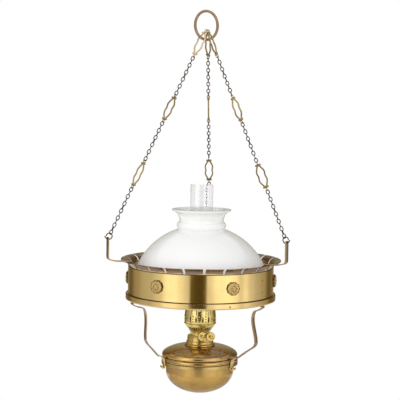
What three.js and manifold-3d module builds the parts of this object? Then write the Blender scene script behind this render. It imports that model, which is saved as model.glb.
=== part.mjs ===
// Hanging library lamp: a ring, three chains, a brass shade frame, an oil font with a two-wick burner, and its glass.
// Millimetres, +Z up. The origin is the top of the ring's eye, where a hook carries the lamp. The front is -Y.
import * as THREE from "three";
import { mergeVertices } from "three/addons/utils/BufferGeometryUtils.js";
import Module from "manifold-3d";

// Driving dimensions
const clearance = 0.3; // between pieces that rest on or pass through each other
const overrun = 4; // how far a cutting tool runs past the wall that it cuts
const weld = 0.15; // how deep neighbouring chain links press into each other

const ring = { radius: 24.9, wire: 4.8, turn: 43 };

const wireLink = { width: 6.7, wire: 1.3, pitch: 6.8 };
const barLink = { width: 16, rail: 2.5, thickness: 2.8, barSpacing: 40.3, lobeSpan: 10, barHeight: 3.2 };
const barEye = { diameter: 6.4, wire: 1.5, reach: 4.6 };
const barSeat = 9.4; // from a bar link's middle up to the ring's wire in its window
const chainSeats = { left: -9.6, back: 3.7, right: 10.2 }; // along the ring's wire from its lowest point
const longRunCount = 13; // links in a chain's lowest run
const shortRunCount = 11; // links in its other two runs
const hook = { diameter: 12.8, wire: 2, tail: 6 };

const arm = { width: 9, thickness: 2, topRadius: 177, eyeMargin: 3.4, eyeDiameter: 4.2, rise: 31, bendRadius: 6 };
const armBelow = { waistRadius: 110, bulgeRadius: 113.5, waistDrop: 23, bulgeDrop: 66 };
const foot = { width: 17, prongWidth: 4, rise: 17, depth: 28, scrollRadius: 2.6, standOff: 5 };

const band = { radius: 129.2, sheet: 1.2, wallHeight: 48.5, rimRadius: 142.2, rimHeight: 11.5, drop: 42.8 };
const rimSlot = { count: 24, outerWidth: 6, innerWidth: 3.2, rise: 1.5 };
const hoop = { radius: 133.3, sheet: 1.2, height: 10.6, ledgeRadius: 116, lap: 1.6 };
const rosette = { diameter: 23.5, edge: 2.2, height: 5.4, count: 6, share: 0.47 };

const shade = { baseRadius: 124.4, domeHeight: 122, neckRadius: 40, glass: 2.6 };
const shadeCollar = { beadRadius: 44, beadHeight: 6, waistRadius: 41.7, height: 34.5, topRadius: 52.6 };

const cradle = { radius: 68, width: 3.6, height: 6.2, dropBelowHoop: 110.2 };
const font = { beadRadius: 68, beadHeight: 8, shell: 1.1, bowlRadius: 60, bowlDepth: 58.2, bowlWall: 19 };
const fontTop = { height: 18.4, mouthRadius: 19 };
const collar = { radius: 22.4, wall: 1.5, height: 8.5, stepRadius: 24.2, flangeRadius: 26.9, flangeHeight: 8 };

const burner = { sheet: 0.9, skirtDepth: 9, neckRadius: 17, neckHeight: 6.8, coneHeight: 14.2, coneRadius: 26.6 };
const airSlot = { count: 16, width: 1.3, height: 6, share: 0.46 };
const gallery = { radius: 27.9, sheet: 0.8, borderHeight: 16.4, prongHeight: 13.2, floorRadius: 21.5, beadProud: 0.9 };
const prong = { count: 10, slit: 1.6, spring: 0.4 };
const palmette = { count: 10, width: 5.6, height: 10.5 };
const deflector = { radius: 23.2, sheet: 0.8, height: 17, slotLength: 29, slotWidth: 15.5 };

const wick = { width: 24, thickness: 2.2, spacing: 6.6, reach: 62, proud: 1.2 };
const wickTube = { wall: 0.7, length: 38, plateRadius: 15.6, plateHeight: 1.2, footing: 3 };
const spindle = { diameter: 2.6, spacing: 13.6, turn: 20.5, height: 5.7, innerEnd: 13, frontLength: 50, backLength: 44 };
const feedWheel = { diameter: 4.2, width: 3, offset: 6.5 };
const thumbWheel = { diameter: 16, width: 5.5, hubDiameter: 6, hubWidth: 2.2, stepDiameter: 11.5, dish: 1.2 };

const chimney = { baseRadius: 25.6, glass: 1.8, bulgeRadius: 29, tubeRadius: 20, height: 245.7 };
const chimneyHeights = { straight: 30, bulge: 46, shoulder: 74, tube: 90 };

const facetCounts = { ring: 18, shade: 20, band: 36, cradle: 24, font: 20, burner: 20, chimney: 16, knob: 10 };

// Finishes
const finish = {
  polishedBrass: new THREE.MeshStandardMaterial({ color: 0xc79a45, roughness: 0.25, metalness: 1 }),
  antiqueBrass: new THREE.MeshStandardMaterial({ color: 0x8a7142, roughness: 0.4, metalness: 1 }),
  armBrass: new THREE.MeshStandardMaterial({ color: 0x8f6b42, roughness: 0.35, metalness: 1 }),
  fontBrass: new THREE.MeshStandardMaterial({ color: 0xa5763c, roughness: 0.35, metalness: 1 }),
  burnerBrass: new THREE.MeshStandardMaterial({ color: 0xc2a13c, roughness: 0.3, metalness: 1 }),
  darkWire: new THREE.MeshStandardMaterial({ color: 0x4c4238, roughness: 0.5, metalness: 0.9 }),
  cotton: new THREE.MeshStandardMaterial({ color: 0xd9cfb8, roughness: 0.95, metalness: 0 }),
  opalGlass: new THREE.MeshStandardMaterial({ color: 0xf2f3f1, roughness: 0.15, metalness: 0 }),
  clearGlass: new THREE.MeshStandardMaterial({ color: 0xdfe6e4, roughness: 0.05, metalness: 0, transparent: true, opacity: 0.3 }),
};

const wasm = await Module();
wasm.setup();

const lamp = new THREE.Group();

function addPiece(name, geometry, material, parent) {
  const piece = new THREE.Mesh(geometry, material);
  piece.name = name;
  parent.add(piece);
  return piece;
}

// Turns a closed geometry into a solid that can be cut and joined.
function solidOf(geometry) {
  const bare = geometry.clone();
  bare.deleteAttribute("normal");
  bare.deleteAttribute("uv");
  const merged = mergeVertices(bare, clearance / 1000);
  const corners = merged.index.array;
  const kept = [];
  for (let i = 0; i < corners.length; i += 3) {
    const [a, b, c] = [corners[i], corners[i + 1], corners[i + 2]];
    if (a !== b && b !== c && c !== a) kept.push(a, b, c);
  }
  const vertProperties = new Float32Array(merged.attributes.position.array);
  return new wasm.Manifold(new wasm.Mesh({ numProp: 3, vertProperties, triVerts: new Uint32Array(kept) }));
}

function geometryOf(solid) {
  const mesh = solid.getMesh();
  const geometry = new THREE.BufferGeometry();
  geometry.setAttribute("position", new THREE.BufferAttribute(new Float32Array(mesh.vertProperties), 3));
  geometry.setIndex(new THREE.BufferAttribute(new Uint32Array(mesh.triVerts), 1));
  geometry.computeVertexNormals();
  return geometry;
}

const joined = (geometries) => geometryOf(geometries.map(solidOf).reduce((sum, next) => sum.add(next)));

function cut(geometry, tools) {
  return geometryOf(tools.map(solidOf).reduce((left, tool) => left.subtract(tool), solidOf(geometry)));
}

// Revolves a closed outline of [radius, height] pairs about the Z axis.
function revolved(outline, parts) {
  const area = outline.reduce((sum, [r, z], i) => {
    const [nextR, nextZ] = outline[(i + 1) % outline.length];
    return sum + r * nextZ - nextR * z;
  }, 0);
  const ordered = area > 0 ? outline : [...outline].reverse();
  const points = [...ordered, ordered[0]].map(([r, z]) => new THREE.Vector2(r, z));
  const turned = new THREE.LatheGeometry(points, parts).rotateX(Math.PI / 2);
  return geometryOf(solidOf(turned));
}

// The closed outline of a sheet of even thickness whose outer face follows the points.
function sheetOutline(points, thickness) {
  const inner = points.map(([r, z], i) => {
    const [beforeR, beforeZ] = points[Math.max(i - 1, 0)];
    const [afterR, afterZ] = points[Math.min(i + 1, points.length - 1)];
    const length = Math.hypot(afterR - beforeR, afterZ - beforeZ);
    return [r - (thickness * (afterZ - beforeZ)) / length, z + (thickness * (afterR - beforeR)) / length];
  });
  return [...points, ...inner.reverse()];
}

// Points on a quarter ellipse from angle start to angle end, in degrees, about a centre.
function ellipseArc(centreR, centreZ, halfWidth, halfHeight, start, end, steps) {
  return Array.from({ length: steps + 1 }, (unused, i) => {
    const angle = THREE.MathUtils.degToRad(start + ((end - start) * i) / steps);
    return [centreR + halfWidth * Math.cos(angle), centreZ + halfHeight * Math.sin(angle)];
  });
}

// A plate in the XZ plane, centred on Y, from an outline and holes of [x, z] pairs.
function plate(outline, thickness, holes = []) {
  const shape = new THREE.Shape(outline.map(([x, z]) => new THREE.Vector2(x, z)));
  shape.holes = holes.map((hole) => new THREE.Path(hole.map(([x, z]) => new THREE.Vector2(x, z))));
  const flat = new THREE.ExtrudeGeometry(shape, { depth: thickness, bevelEnabled: false });
  return flat.translate(0, 0, -thickness / 2).rotateX(Math.PI / 2);
}

function polygon(halfWidth, halfHeight, sides, firstShare = 0.5) {
  return Array.from({ length: sides }, (unused, i) => {
    const angle = (2 * Math.PI * (i + firstShare)) / sides;
    return [halfWidth * Math.cos(angle), halfHeight * Math.sin(angle)];
  });
}

const box = (x, y, z) => new THREE.BoxGeometry(x, y, z);
const rod = (radius, length, sides) => new THREE.CylinderGeometry(radius, radius, length, sides).rotateX(Math.PI / 2);
const atAngle = (degrees) => THREE.MathUtils.degToRad(degrees);

// Three sides of the lamp, as shares of a full turn from the front.
const sideShares = { left: -1 / 6, right: 1 / 6, back: 1 / 2 };
const sideAngles = Object.fromEntries(Object.entries(sideShares).map(([side, share]) => [side, 360 * share]));
const outward = (degrees) => new THREE.Vector3(Math.sin(atAngle(degrees)), -Math.cos(atAngle(degrees)), 0);

// Suspension ring
const ringCentre = new THREE.Vector3(0, 0, ring.wire / 2 - ring.radius);
const ringAlong = new THREE.Vector3(Math.cos(atAngle(ring.turn)), Math.sin(atAngle(ring.turn)), 0);
const ringGeometry = new THREE.TorusGeometry(ring.radius, ring.wire / 2, 6, facetCounts.ring).rotateX(Math.PI / 2);
const ringPiece = addPiece("suspension_ring", ringGeometry, finish.antiqueBrass, lamp);
ringPiece.position.copy(ringCentre);
ringPiece.rotation.z = atAngle(ring.turn);

// The point of the ring's wire that carries a chain.
function ringPoint(side) {
  const angle = chainSeats[side] / ring.radius;
  const point = ringCentre.clone().addScaledVector(ringAlong, ring.radius * Math.sin(angle));
  point.z -= ring.radius * Math.cos(angle);
  return point;
}

// Chain pieces. Each is drawn with its length along Z and its middle at the origin.
const wireLinkLength = wireLink.pitch + wireLink.wire - weld + wireLink.wire;

// A closed loop of three-sided wire with its ridge inward. The outline is a function of the inset from its outer edge.
function wireLoop(outline, wire) {
  const rows = [[0, wire / 2], [0, -wire / 2], [wire, 0]].map(([inset, y]) => outline(inset).map(([x, z]) => [x, y, z]));
  const count = rows[0].length;
  const corners = rows.flatMap((row, i) => {
    const here = i * count;
    const next = ((i + 1) % rows.length) * count;
    return row.flatMap((unused, j) => {
      const k = (j + 1) % count;
      return [here + j, here + k, next + k, here + j, next + k, next + j];
    });
  });
  const geometry = new THREE.BufferGeometry();
  geometry.setAttribute("position", new THREE.Float32BufferAttribute(rows.flat(2), 3));
  return geometry.setIndex(corners);
}

function wireLinkGeometry() {
  const endShare = 0.62;
  const outline = (inset) => {
    const halfWidth = wireLink.width / 2 - inset;
    const halfLength = wireLinkLength / 2 - inset;
    const end = (wireLink.width / 2) * endShare - inset / 2;
    return [[end, halfLength], [-end, halfLength], [-halfWidth, 0], [-end, -halfLength], [end, -halfLength], [halfWidth, 0]];
  };
  return wireLoop(outline, wireLink.wire);
}

// Repeats a quarter of an outline, drawn from the X axis to the Z axis, in all four quarters.
function allRound(quarter) {
  const quarters = [[1, 1], [-1, 1], [-1, -1], [1, -1]];
  const points = quarters.flatMap(([xWay, zWay], i) => {
    const ordered = i % 2 ? [...quarter].reverse() : quarter;
    return ordered.map(([x, z]) => [x * xWay, z * zWay]);
  });
  return points.filter(([x, z], i) => x !== points.at(i - 1)[0] || z !== points.at(i - 1)[1]);
}

// A bar link: two bowed rails between cross bars, and an eye at each end.
function barLinkGeometry() {
  const halfBar = barLink.barSpacing / 2;
  const railMiddle = (barLink.width - barLink.rail) / 2;
  // Rail middle as a share of its greatest offset, against height as a share of the distance to the bar.
  const railShares = [[0, 0.8], [0.3, 1]];
  const rail = (side) => railShares.map(([up, out]) => [railMiddle * out + (side * barLink.rail) / 2, halfBar * up]);
  const lobe = barLink.lobeSpan / 2;
  const halfHeight = barLink.barHeight / 2;
  const body = [...rail(1), [lobe / 2, halfBar - halfHeight], [lobe, halfBar - halfHeight / 2], [lobe / 2, halfBar + halfHeight]];
  const opening = [...rail(-1), [0, halfBar - halfHeight * 2]];
  const eyes = [-1, 1].map((end) => eyeGeometry().translate(0, 0, end * (halfBar + barEye.reach)));
  return joined([plate(allRound(body), barLink.thickness, [allRound(opening)]), ...eyes]);
}

// A bar link's end eye stands square to the link.
function eyeGeometry() {
  const sides = 6;
  const outline = (inset) => {
    const corner = (barEye.diameter / 2 - inset) / Math.cos(Math.PI / sides);
    return polygon(corner, corner, sides, 0);
  };
  return wireLoop(outline, barEye.wire).rotateZ(Math.PI / 2);
}

// A run of links, each turned a quarter and a little more from the last, as one solid. It starts at the origin.
function runGeometry(count, firstTurn, lastTurn) {
  const links = Array.from({ length: count }, (unused, i) => {
    const turn = firstTurn + ((lastTurn - firstTurn) * i) / (count - 1);
    return wireLinkGeometry()
      .rotateZ(turn)
      .translate(0, 0, -(wireLinkLength / 2 + i * wireLink.pitch));
  });
  return joined(links);
}

// The end hook: a ring of wire whose free end bends away, drawn in the XZ plane.
function hookGeometry() {
  const radius = (hook.diameter - hook.wire) / 2;
  const loop = Array.from({ length: 10 }, (unused, i) => {
    const angle = atAngle(200 - 34 * i);
    return new THREE.Vector3(radius * Math.cos(angle), 0, radius * Math.sin(angle));
  });
  const last = loop.at(-1);
  const tail = last.clone().add(new THREE.Vector3(-hook.tail, 0, hook.tail / 3));
  const path = new THREE.CatmullRomCurve3([...loop, tail], false, "centripetal");
  const section = new THREE.Shape(polygon(hook.wire / 2, hook.wire / 2, 5).map(([x, y]) => new THREE.Vector2(x, y)));
  return new THREE.ExtrudeGeometry(section, { steps: 12, extrudePath: path, bevelEnabled: false });
}

// Places along a chain, measured down from the ring's wire.
const eyeFromMiddle = barLink.barSpacing / 2 + barEye.reach;
const eyeWireRadius = (barEye.diameter - barEye.wire) / 2;
const hookRadius = (hook.diameter - hook.wire) / 2;
const linkInEye = (barEye.wire + wireLink.wire) / 2 + clearance;
const linkInHook = (hook.wire + wireLink.wire) / 2 + clearance;

function chainPlaces() {
  const places = [];
  let middle = barSeat + clearance;
  [shortRunCount, shortRunCount, longRunCount].forEach((count, i, counts) => {
    const runTop = middle + eyeFromMiddle + eyeWireRadius - linkInEye - wireLink.wire / 2;
    const lastBar = runTop + (count - 1) * wireLink.pitch + wireLinkLength - wireLink.wire / 2;
    const ends = i === counts.length - 1;
    const nextMiddle = lastBar - linkInEye + eyeWireRadius + eyeFromMiddle;
    const hookMiddle = lastBar - linkInHook + hookRadius;
    places.push({ middle, runTop, count, hookMiddle: ends ? hookMiddle : null });
    middle = nextMiddle;
  });
  return places;
}

const places = chainPlaces();
const chainLength = places.at(-1).hookMiddle + hookRadius;

// The way that each chain's bar links face, as angles from the front.
const facingAngles = { left: [-29, -32, -42], back: [-47, -85, 5], right: [-60, -35, 5] };

// The frame hangs where all three chains are taut: its arm holes' middle, found by a few Newton steps.
function hangingPoint() {
  const middle = new THREE.Vector3(0, 0, -chainLength);
  for (let step = 0; step < 12; step += 1) {
    const rows = Object.keys(sideAngles).map((side) => {
      const hole = middle.clone().addScaledVector(outward(sideAngles[side]), arm.topRadius);
      const toHole = hole.sub(ringPoint(side));
      return { direction: toHole.clone().normalize(), miss: chainLength - toHole.length() };
    });
    const [a, b, c] = rows.map((row) => row.direction);
    const inverse = new THREE.Matrix3().set(a.x, a.y, a.z, b.x, b.y, b.z, c.x, c.y, c.z).invert();
    middle.add(new THREE.Vector3(...rows.map((row) => row.miss)).applyMatrix3(inverse));
  }
  return middle;
}

const frame = new THREE.Group();
frame.position.copy(hangingPoint());
lamp.add(frame);

function addChain(side) {
  const top = ringPoint(side);
  const hole = frame.position.clone().addScaledVector(outward(sideAngles[side]), arm.topRadius);
  const chain = new THREE.Group();
  const up = top.clone().sub(hole).normalize();
  const across = new THREE.Vector3(0, 1, 0).cross(up).normalize();
  chain.matrixAutoUpdate = false;
  chain.matrix.makeBasis(across, up.clone().cross(across), up).setPosition(top);
  lamp.add(chain);

  const turns = facingAngles[side].map(atAngle);
  places.forEach((place, i) => {
    const link = addPiece(`chain_${side}_bar_link_${i + 1}`, barLinkGeometry(), finish.antiqueBrass, chain);
    link.position.z = -place.middle;
    link.rotation.z = turns[i];
    const quarters = (place.count - 1) * (Math.PI / 2);
    const lastTurn = turns[i] + quarters + wrapped((turns[i + 1] ?? hookTurn(side, chain) + Math.PI / 2) - turns[i] - quarters);
    const run = addPiece(`chain_${side}_run_${i + 1}`, runGeometry(place.count, turns[i], lastTurn), finish.darkWire, chain);
    run.position.z = -place.runTop;
  });
  const end = addPiece(`chain_${side}_hook`, hookGeometry(), finish.darkWire, chain);
  end.position.z = -places.at(-1).hookMiddle;
  end.rotation.z = hookTurn(side, chain);
}

// The nearest turn that leaves a link looking the same, since half a turn changes nothing.
const wrapped = (angle) => angle - Math.PI * Math.round(angle / Math.PI);

// A hook lies in the upright plane of its arm, with its tail pointing outward.
function hookTurn(side, chain) {
  const across = new THREE.Vector3().setFromMatrixColumn(chain.matrix, 0);
  const along = new THREE.Vector3().setFromMatrixColumn(chain.matrix, 1);
  const inward = outward(sideAngles[side]).negate();
  return Math.atan2(inward.dot(along), inward.dot(across));
}

Object.keys(sideAngles).forEach(addChain);

// Shade band: a rolled wall whose top flares out into tabs
const wallTop = -band.drop - band.rimHeight;
const wallBottom = wallTop - band.wallHeight;

function bandGeometry() {
  const flare = ellipseArc(band.rimRadius, wallTop, band.rimRadius - band.radius, band.rimHeight, 180, 90, 2);
  const profile = sheetOutline([[band.radius, wallBottom], ...flare], band.sheet);
  const shell = revolved(profile, facetCounts.band);
  const slotDepth = band.rimHeight - rimSlot.rise;
  const nearShare = 0.9;
  const slots = Array.from({ length: rimSlot.count }, (unused, i) => {
    const near = band.radius * nearShare;
    const far = band.rimRadius + overrun;
    const outline = [[near, -rimSlot.innerWidth / 2], [far, -rimSlot.outerWidth / 2], [far, rimSlot.outerWidth / 2], [near, rimSlot.innerWidth / 2]];
    const shape = new THREE.Shape(outline.map(([x, y]) => new THREE.Vector2(x, y)));
    const wedge = new THREE.ExtrudeGeometry(shape, { depth: slotDepth + overrun, bevelEnabled: false });
    return wedge.translate(0, 0, -band.drop - slotDepth).rotateZ((2 * Math.PI * (i + 0.5)) / rimSlot.count);
  });
  return cut(shell, slots);
}
addPiece("shade_band", bandGeometry(), finish.polishedBrass, frame);

// Lower hoop: a lap over the band's foot, a skirt, and the ledge that carries the shade
const ledgeTop = wallBottom - clearance;
const hoopTop = ledgeTop + hoop.lap;
const hoopBottom = hoopTop - hoop.height;
const armWallRadius = band.radius - band.sheet - 2 * clearance - arm.thickness / 2;

function hoopGeometry() {
  const skirt = hoop.radius - hoop.sheet;
  const outline = [
    [band.radius + clearance, hoopTop],
    [hoop.radius, hoopTop],
    [hoop.radius, hoopBottom],
    [skirt, ledgeTop - hoop.sheet],
    [hoop.ledgeRadius, ledgeTop - hoop.sheet],
    [hoop.ledgeRadius, ledgeTop],
    [band.radius + clearance, ledgeTop],
  ];
  const notchDepth = 2 * (armWallRadius - hoop.ledgeRadius);
  const notches = Object.values(sideAngles).map((angle) =>
    box(arm.width + 2 * clearance, arm.thickness + notchDepth, 2 * hoop.height)
      .translate(0, -armWallRadius + notchDepth / 2 - clearance, ledgeTop)
      .rotateZ(atAngle(angle)),
  );
  return cut(revolved(outline, facetCounts.band), notches);
}
addPiece("lower_hoop", hoopGeometry(), finish.polishedBrass, frame);

// Strip arms. A strip is drawn in the plane of its arm, where X is the distance from the lamp's axis.
const cradleTop = hoopBottom - cradle.dropBelowHoop;
const prongRadius = cradle.radius + clearance + arm.thickness / 2;

function stripGeometry(points, width, samples) {
  const curve = new THREE.SplineCurve(points.map(([r, z]) => new THREE.Vector2(r, z)));
  const middle = curve.getPoints(samples);
  const normals = middle.map((point, i) => {
    const before = middle[Math.max(i - 1, 0)];
    const after = middle[Math.min(i + 1, middle.length - 1)];
    const along = after.clone().sub(before).normalize();
    return new THREE.Vector2(-along.y, along.x).multiplyScalar(arm.thickness / 2);
  });
  const oneSide = middle.map((point, i) => point.clone().add(normals[i]));
  const otherSide = middle.map((point, i) => point.clone().sub(normals[i])).reverse();
  const outline = [...oneSide, ...otherSide].map((point) => [point.x, point.y]);
  return plate(outline, width);
}

function armGeometry() {
  const hole = 0;
  const bend = hole - arm.rise;
  const rimTop = -band.drop + band.sheet + clearance + arm.thickness / 2;
  const insideRadius = armWallRadius;
  const waist = hoopBottom - armBelow.waistDrop;
  const bulge = hoopBottom - armBelow.bulgeDrop;
  const footTop = cradleTop + foot.rise;
  const upper = [
    [arm.topRadius, hole + arm.eyeMargin],
    [arm.topRadius, bend / 2],
    [arm.topRadius, bend + arm.bendRadius],
    [arm.topRadius - arm.bendRadius / 3, bend + arm.bendRadius / 4],
    [arm.topRadius - arm.bendRadius, bend - arm.thickness / 2],
    [(arm.topRadius + band.rimRadius) / 2, (bend + rimTop) / 2 - arm.thickness],
    [band.rimRadius, rimTop + arm.thickness / 4],
    [(band.rimRadius + insideRadius) / 2, rimTop - arm.thickness / 2],
    [insideRadius + arm.thickness, (rimTop + wallTop) / 2],
    [insideRadius, wallTop],
    [insideRadius, wallTop - band.wallHeight / 3],
    [insideRadius, hoopBottom + arm.bendRadius],
    [insideRadius, hoopBottom],
    [(insideRadius * 2 + armBelow.waistRadius) / 3, hoopBottom - armBelow.waistDrop / 3],
    [armBelow.waistRadius + arm.thickness, waist + arm.bendRadius],
    [armBelow.waistRadius, waist - arm.bendRadius],
    [armBelow.bulgeRadius, bulge + arm.bendRadius],
    [armBelow.bulgeRadius - arm.thickness, bulge - arm.bendRadius],
    [(armBelow.bulgeRadius + prongRadius) / 2 + arm.bendRadius, (bulge + footTop) / 2 - arm.thickness],
    [prongRadius + arm.bendRadius * 2, footTop],
  ];
  const strip = stripGeometry(upper, arm.width, 26);
  const eye = rod(arm.eyeDiameter / 2, arm.thickness + overrun, 8).rotateY(Math.PI / 2).translate(arm.topRadius, 0, hole);
  return joined([cut(strip, [eye]), footGeometry(footTop)]).rotateZ(-Math.PI / 2);
}

// The foot spreads into two prongs that hold the cradle ring and end in outward scrolls.
function footGeometry(footTop) {
  const scrollTurns = 5;
  const scrollMiddle = [prongRadius + foot.scrollRadius, cradleTop - cradle.height - foot.scrollRadius / 2];
  const scroll = ellipseArc(...scrollMiddle, foot.scrollRadius, foot.scrollRadius, 180, 400, scrollTurns);
  const path = [
    [prongRadius + arm.bendRadius * 2, footTop],
    [prongRadius + arm.bendRadius, footTop - arm.thickness],
    [prongRadius + arm.thickness / 2, footTop - arm.bendRadius],
    [prongRadius, cradleTop],
    [prongRadius, cradleTop - cradle.height / 2],
    ...scroll,
  ];
  const spread = stripGeometry(path, foot.width, 12);
  const gap = foot.width - 2 * foot.prongWidth;
  const tall = foot.depth + overrun;
  const slot = box(foot.depth, gap, tall).translate(prongRadius + foot.standOff - foot.depth / 2, 0, cradleTop);
  return cut(spread, [slot]);
}

for (const [side, angle] of Object.entries(sideAngles)) {
  const piece = addPiece(`arm_${side}`, armGeometry(), finish.armBrass, frame);
  piece.rotation.z = atAngle(angle);
}

// Cradle ring
const cradleInner = cradle.radius - cradle.width;
const cradleOutline = [
  [cradle.radius, cradleTop],
  [cradle.radius, cradleTop - cradle.height],
  [cradleInner, cradleTop - cradle.height],
  [cradleInner, cradleTop],
];
addPiece("cradle_ring", revolved(cradleOutline, facetCounts.cradle), finish.polishedBrass, frame);

// Rosettes: stepped domes on the band between the arms
const rosetteRadius = rosette.diameter / 2;
const rosetteOutline = [
  [0, 0],
  [rosetteRadius, 0],
  [rosetteRadius, rosette.edge],
  [rosetteRadius * 0.84, (rosette.edge + rosette.height) / 2],
  [rosetteRadius * 0.5, rosette.height * 0.8],
  [0, rosette.height],
];
for (let i = 0; i < rosette.count; i += 1) {
  const piece = addPiece(`rosette_${i + 1}`, revolved(rosetteOutline, facetCounts.knob).rotateX(Math.PI / 2), finish.polishedBrass, frame);
  const angle = 360 / rosette.count / 2 + (360 / rosette.count) * i;
  piece.position.copy(outward(angle)).multiplyScalar(band.radius + clearance);
  piece.position.z = wallTop - band.wallHeight * rosette.share;
  piece.rotation.z = atAngle(angle);
}

// Opal shade: a dome with a beaded neck that flares at the top. It stands on the hoop's ledge.
function shadeGeometry() {
  const { baseRadius, domeHeight, neckRadius, glass } = shade;
  const neckAngle = (inset) => THREE.MathUtils.radToDeg(Math.acos((neckRadius - inset) / (baseRadius - inset)));
  const dome = ellipseArc(0, 0, baseRadius, domeHeight, 0, neckAngle(0), 6);
  const neck = dome.at(-1)[1];
  const waist = neck + shadeCollar.beadHeight + shadeCollar.height / 4;
  const top = neck + shadeCollar.height;
  const flare = neck + shadeCollar.height * 0.78;
  const flareRadius = (shadeCollar.waistRadius + shadeCollar.topRadius) / 2 - glass;
  const outside = [
    ...dome,
    [shadeCollar.beadRadius, neck + shadeCollar.beadHeight * 0.75],
    [shadeCollar.waistRadius, waist],
    [flareRadius, flare],
    [shadeCollar.topRadius, top],
  ];
  const inside = [
    [shadeCollar.topRadius - glass, top],
    [flareRadius - glass, flare],
    [shadeCollar.waistRadius - glass, waist],
    ...ellipseArc(0, 0, baseRadius - glass, domeHeight - glass, neckAngle(glass), 0, 3),
  ];
  return revolved([...outside, ...inside], facetCounts.shade);
}
const shadePiece = addPiece("shade", shadeGeometry(), finish.opalGlass, frame);
shadePiece.position.z = ledgeTop + clearance;

// Oil font, with its zero height at the underside of the bead that rests on the cradle ring
const fontGroup = new THREE.Group();
fontGroup.position.z = cradleTop + clearance;
frame.add(fontGroup);

const seamHeight = font.beadHeight * 0.35;
const bowlInRing = cradleInner - clearance * 2;

function bowlGeometry() {
  const wallRadius = Math.min(font.bowlRadius, bowlInRing);
  const round = ellipseArc(0, -font.bowlWall, wallRadius, font.bowlDepth - font.bowlWall, -90, 0, 7);
  const outside = [...round, [wallRadius, 0], [font.beadRadius, 0], [font.beadRadius, seamHeight]];
  const inside = [
    [font.beadRadius - font.shell * 2, seamHeight],
    [wallRadius - font.shell, font.shell],
    ...ellipseArc(0, -font.bowlWall, wallRadius - font.shell, font.bowlDepth - font.bowlWall - font.shell, 0, -90, 4),
  ];
  return revolved([...outside, ...inside], facetCounts.font);
}
addPiece("font_bowl", bowlGeometry(), finish.fontBrass, fontGroup);

const collarFoot = font.beadHeight + fontTop.height;

function fontTopGeometry() {
  const base = seamHeight + clearance;
  const bead = font.beadHeight;
  const shoulder = font.beadRadius - font.shell;
  const outside = [
    [font.beadRadius, base],
    [font.beadRadius, bead],
    [shoulder, bead + fontTop.height * 0.2],
    [font.beadRadius * 0.95, bead + fontTop.height * 0.42],
    [font.beadRadius * 0.86, bead + fontTop.height * 0.63],
    [font.beadRadius * 0.72, bead + fontTop.height * 0.84],
    [font.beadRadius * 0.56, bead + fontTop.height * 0.96],
    [collar.flangeRadius, bead + fontTop.height],
    [fontTop.mouthRadius, bead + fontTop.height],
  ];
  const inner = font.shell;
  const inside = [
    [fontTop.mouthRadius, bead + fontTop.height - inner],
    [font.beadRadius * 0.6, bead + fontTop.height * 0.88 - inner],
    [font.beadRadius * 0.91, bead + fontTop.height * 0.42 - inner],
    [shoulder - inner * 2, bead],
    [font.beadRadius - inner * 2, base],
  ];
  return revolved([...outside, ...inside], facetCounts.font);
}
addPiece("font_top", fontTopGeometry(), finish.fontBrass, fontGroup);

const collarInner = collar.radius - collar.wall;
const collarBase = collarFoot + clearance;
const collarTop = collarBase + collar.flangeHeight + collar.height;
const collarOutline = [
  [fontTop.mouthRadius, collarBase],
  [collar.flangeRadius, collarBase],
  [collar.flangeRadius, collarBase + collar.flangeHeight / 3],
  [collar.stepRadius, collarBase + collar.flangeHeight / 2],
  [collar.stepRadius, collarBase + collar.flangeHeight],
  [collar.radius, collarBase + collar.flangeHeight],
  [collar.radius, collarTop],
  [collarInner, collarTop],
  [collarInner, collarBase + collar.wall],
  [fontTop.mouthRadius, collarBase + collar.wall],
];
addPiece("font_collar", revolved(collarOutline, facetCounts.burner), finish.fontBrass, fontGroup);

// Burner, with its zero height at the collar's top. Its skirt stands inside the collar.
const burnerGroup = new THREE.Group();
burnerGroup.position.z = collarTop;
fontGroup.add(burnerGroup);

const shoulderHeight = clearance + burner.sheet;
const neckTop = shoulderHeight + burner.neckHeight;
const coneTop = neckTop + burner.coneHeight;

function burnerBaseGeometry() {
  const skirt = collarInner - clearance;
  const outside = [
    [skirt, -burner.skirtDepth],
    [skirt, clearance],
    [collar.radius - clearance, clearance],
    [collar.radius - clearance, shoulderHeight],
    [burner.neckRadius, shoulderHeight],
    [burner.neckRadius, neckTop],
    [burner.coneRadius * 0.81, neckTop + burner.coneHeight * 0.42],
    [burner.coneRadius * 0.94, neckTop + burner.coneHeight * 0.68],
    [burner.coneRadius, coneTop],
  ];
  const inside = [
    [burner.coneRadius - burner.sheet, coneTop],
    [burner.coneRadius * 0.94 - burner.sheet, neckTop + burner.coneHeight * 0.7],
    [burner.coneRadius * 0.8 - burner.sheet, neckTop + burner.coneHeight * 0.44],
    [burner.neckRadius - burner.sheet, neckTop + burner.sheet],
    [burner.neckRadius - burner.sheet, clearance],
    [skirt - burner.sheet, -burner.sheet],
    [skirt - burner.sheet, -burner.skirtDepth],
  ];
  const slotHeight = neckTop + burner.coneHeight * airSlot.share;
  const slots = Array.from({ length: airSlot.count }, (unused, i) =>
    box(burner.coneRadius, airSlot.width, airSlot.height)
      .translate(burner.coneRadius, 0, slotHeight)
      .rotateZ((2 * Math.PI * (i + 0.5)) / airSlot.count),
  );
  const holes = [-1, 1].map((place) =>
    rod(spindle.diameter / 2 + clearance, burner.neckRadius, 8)
      .rotateX(Math.PI / 2)
      .translate((place * spindle.spacing) / 2, -burner.neckRadius, spindle.height)
      .rotateZ(atAngle(spindle.turn)),
  );
  return cut(revolved([...outside, ...inside], facetCounts.burner), [...slots, ...holes]);
}
addPiece("burner_base", burnerBaseGeometry(), finish.burnerBrass, burnerGroup);

// Gallery: a floor, a bead, a pierced border and a crown of spring prongs that hold the chimney
const floorHeight = coneTop + clearance;

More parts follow.
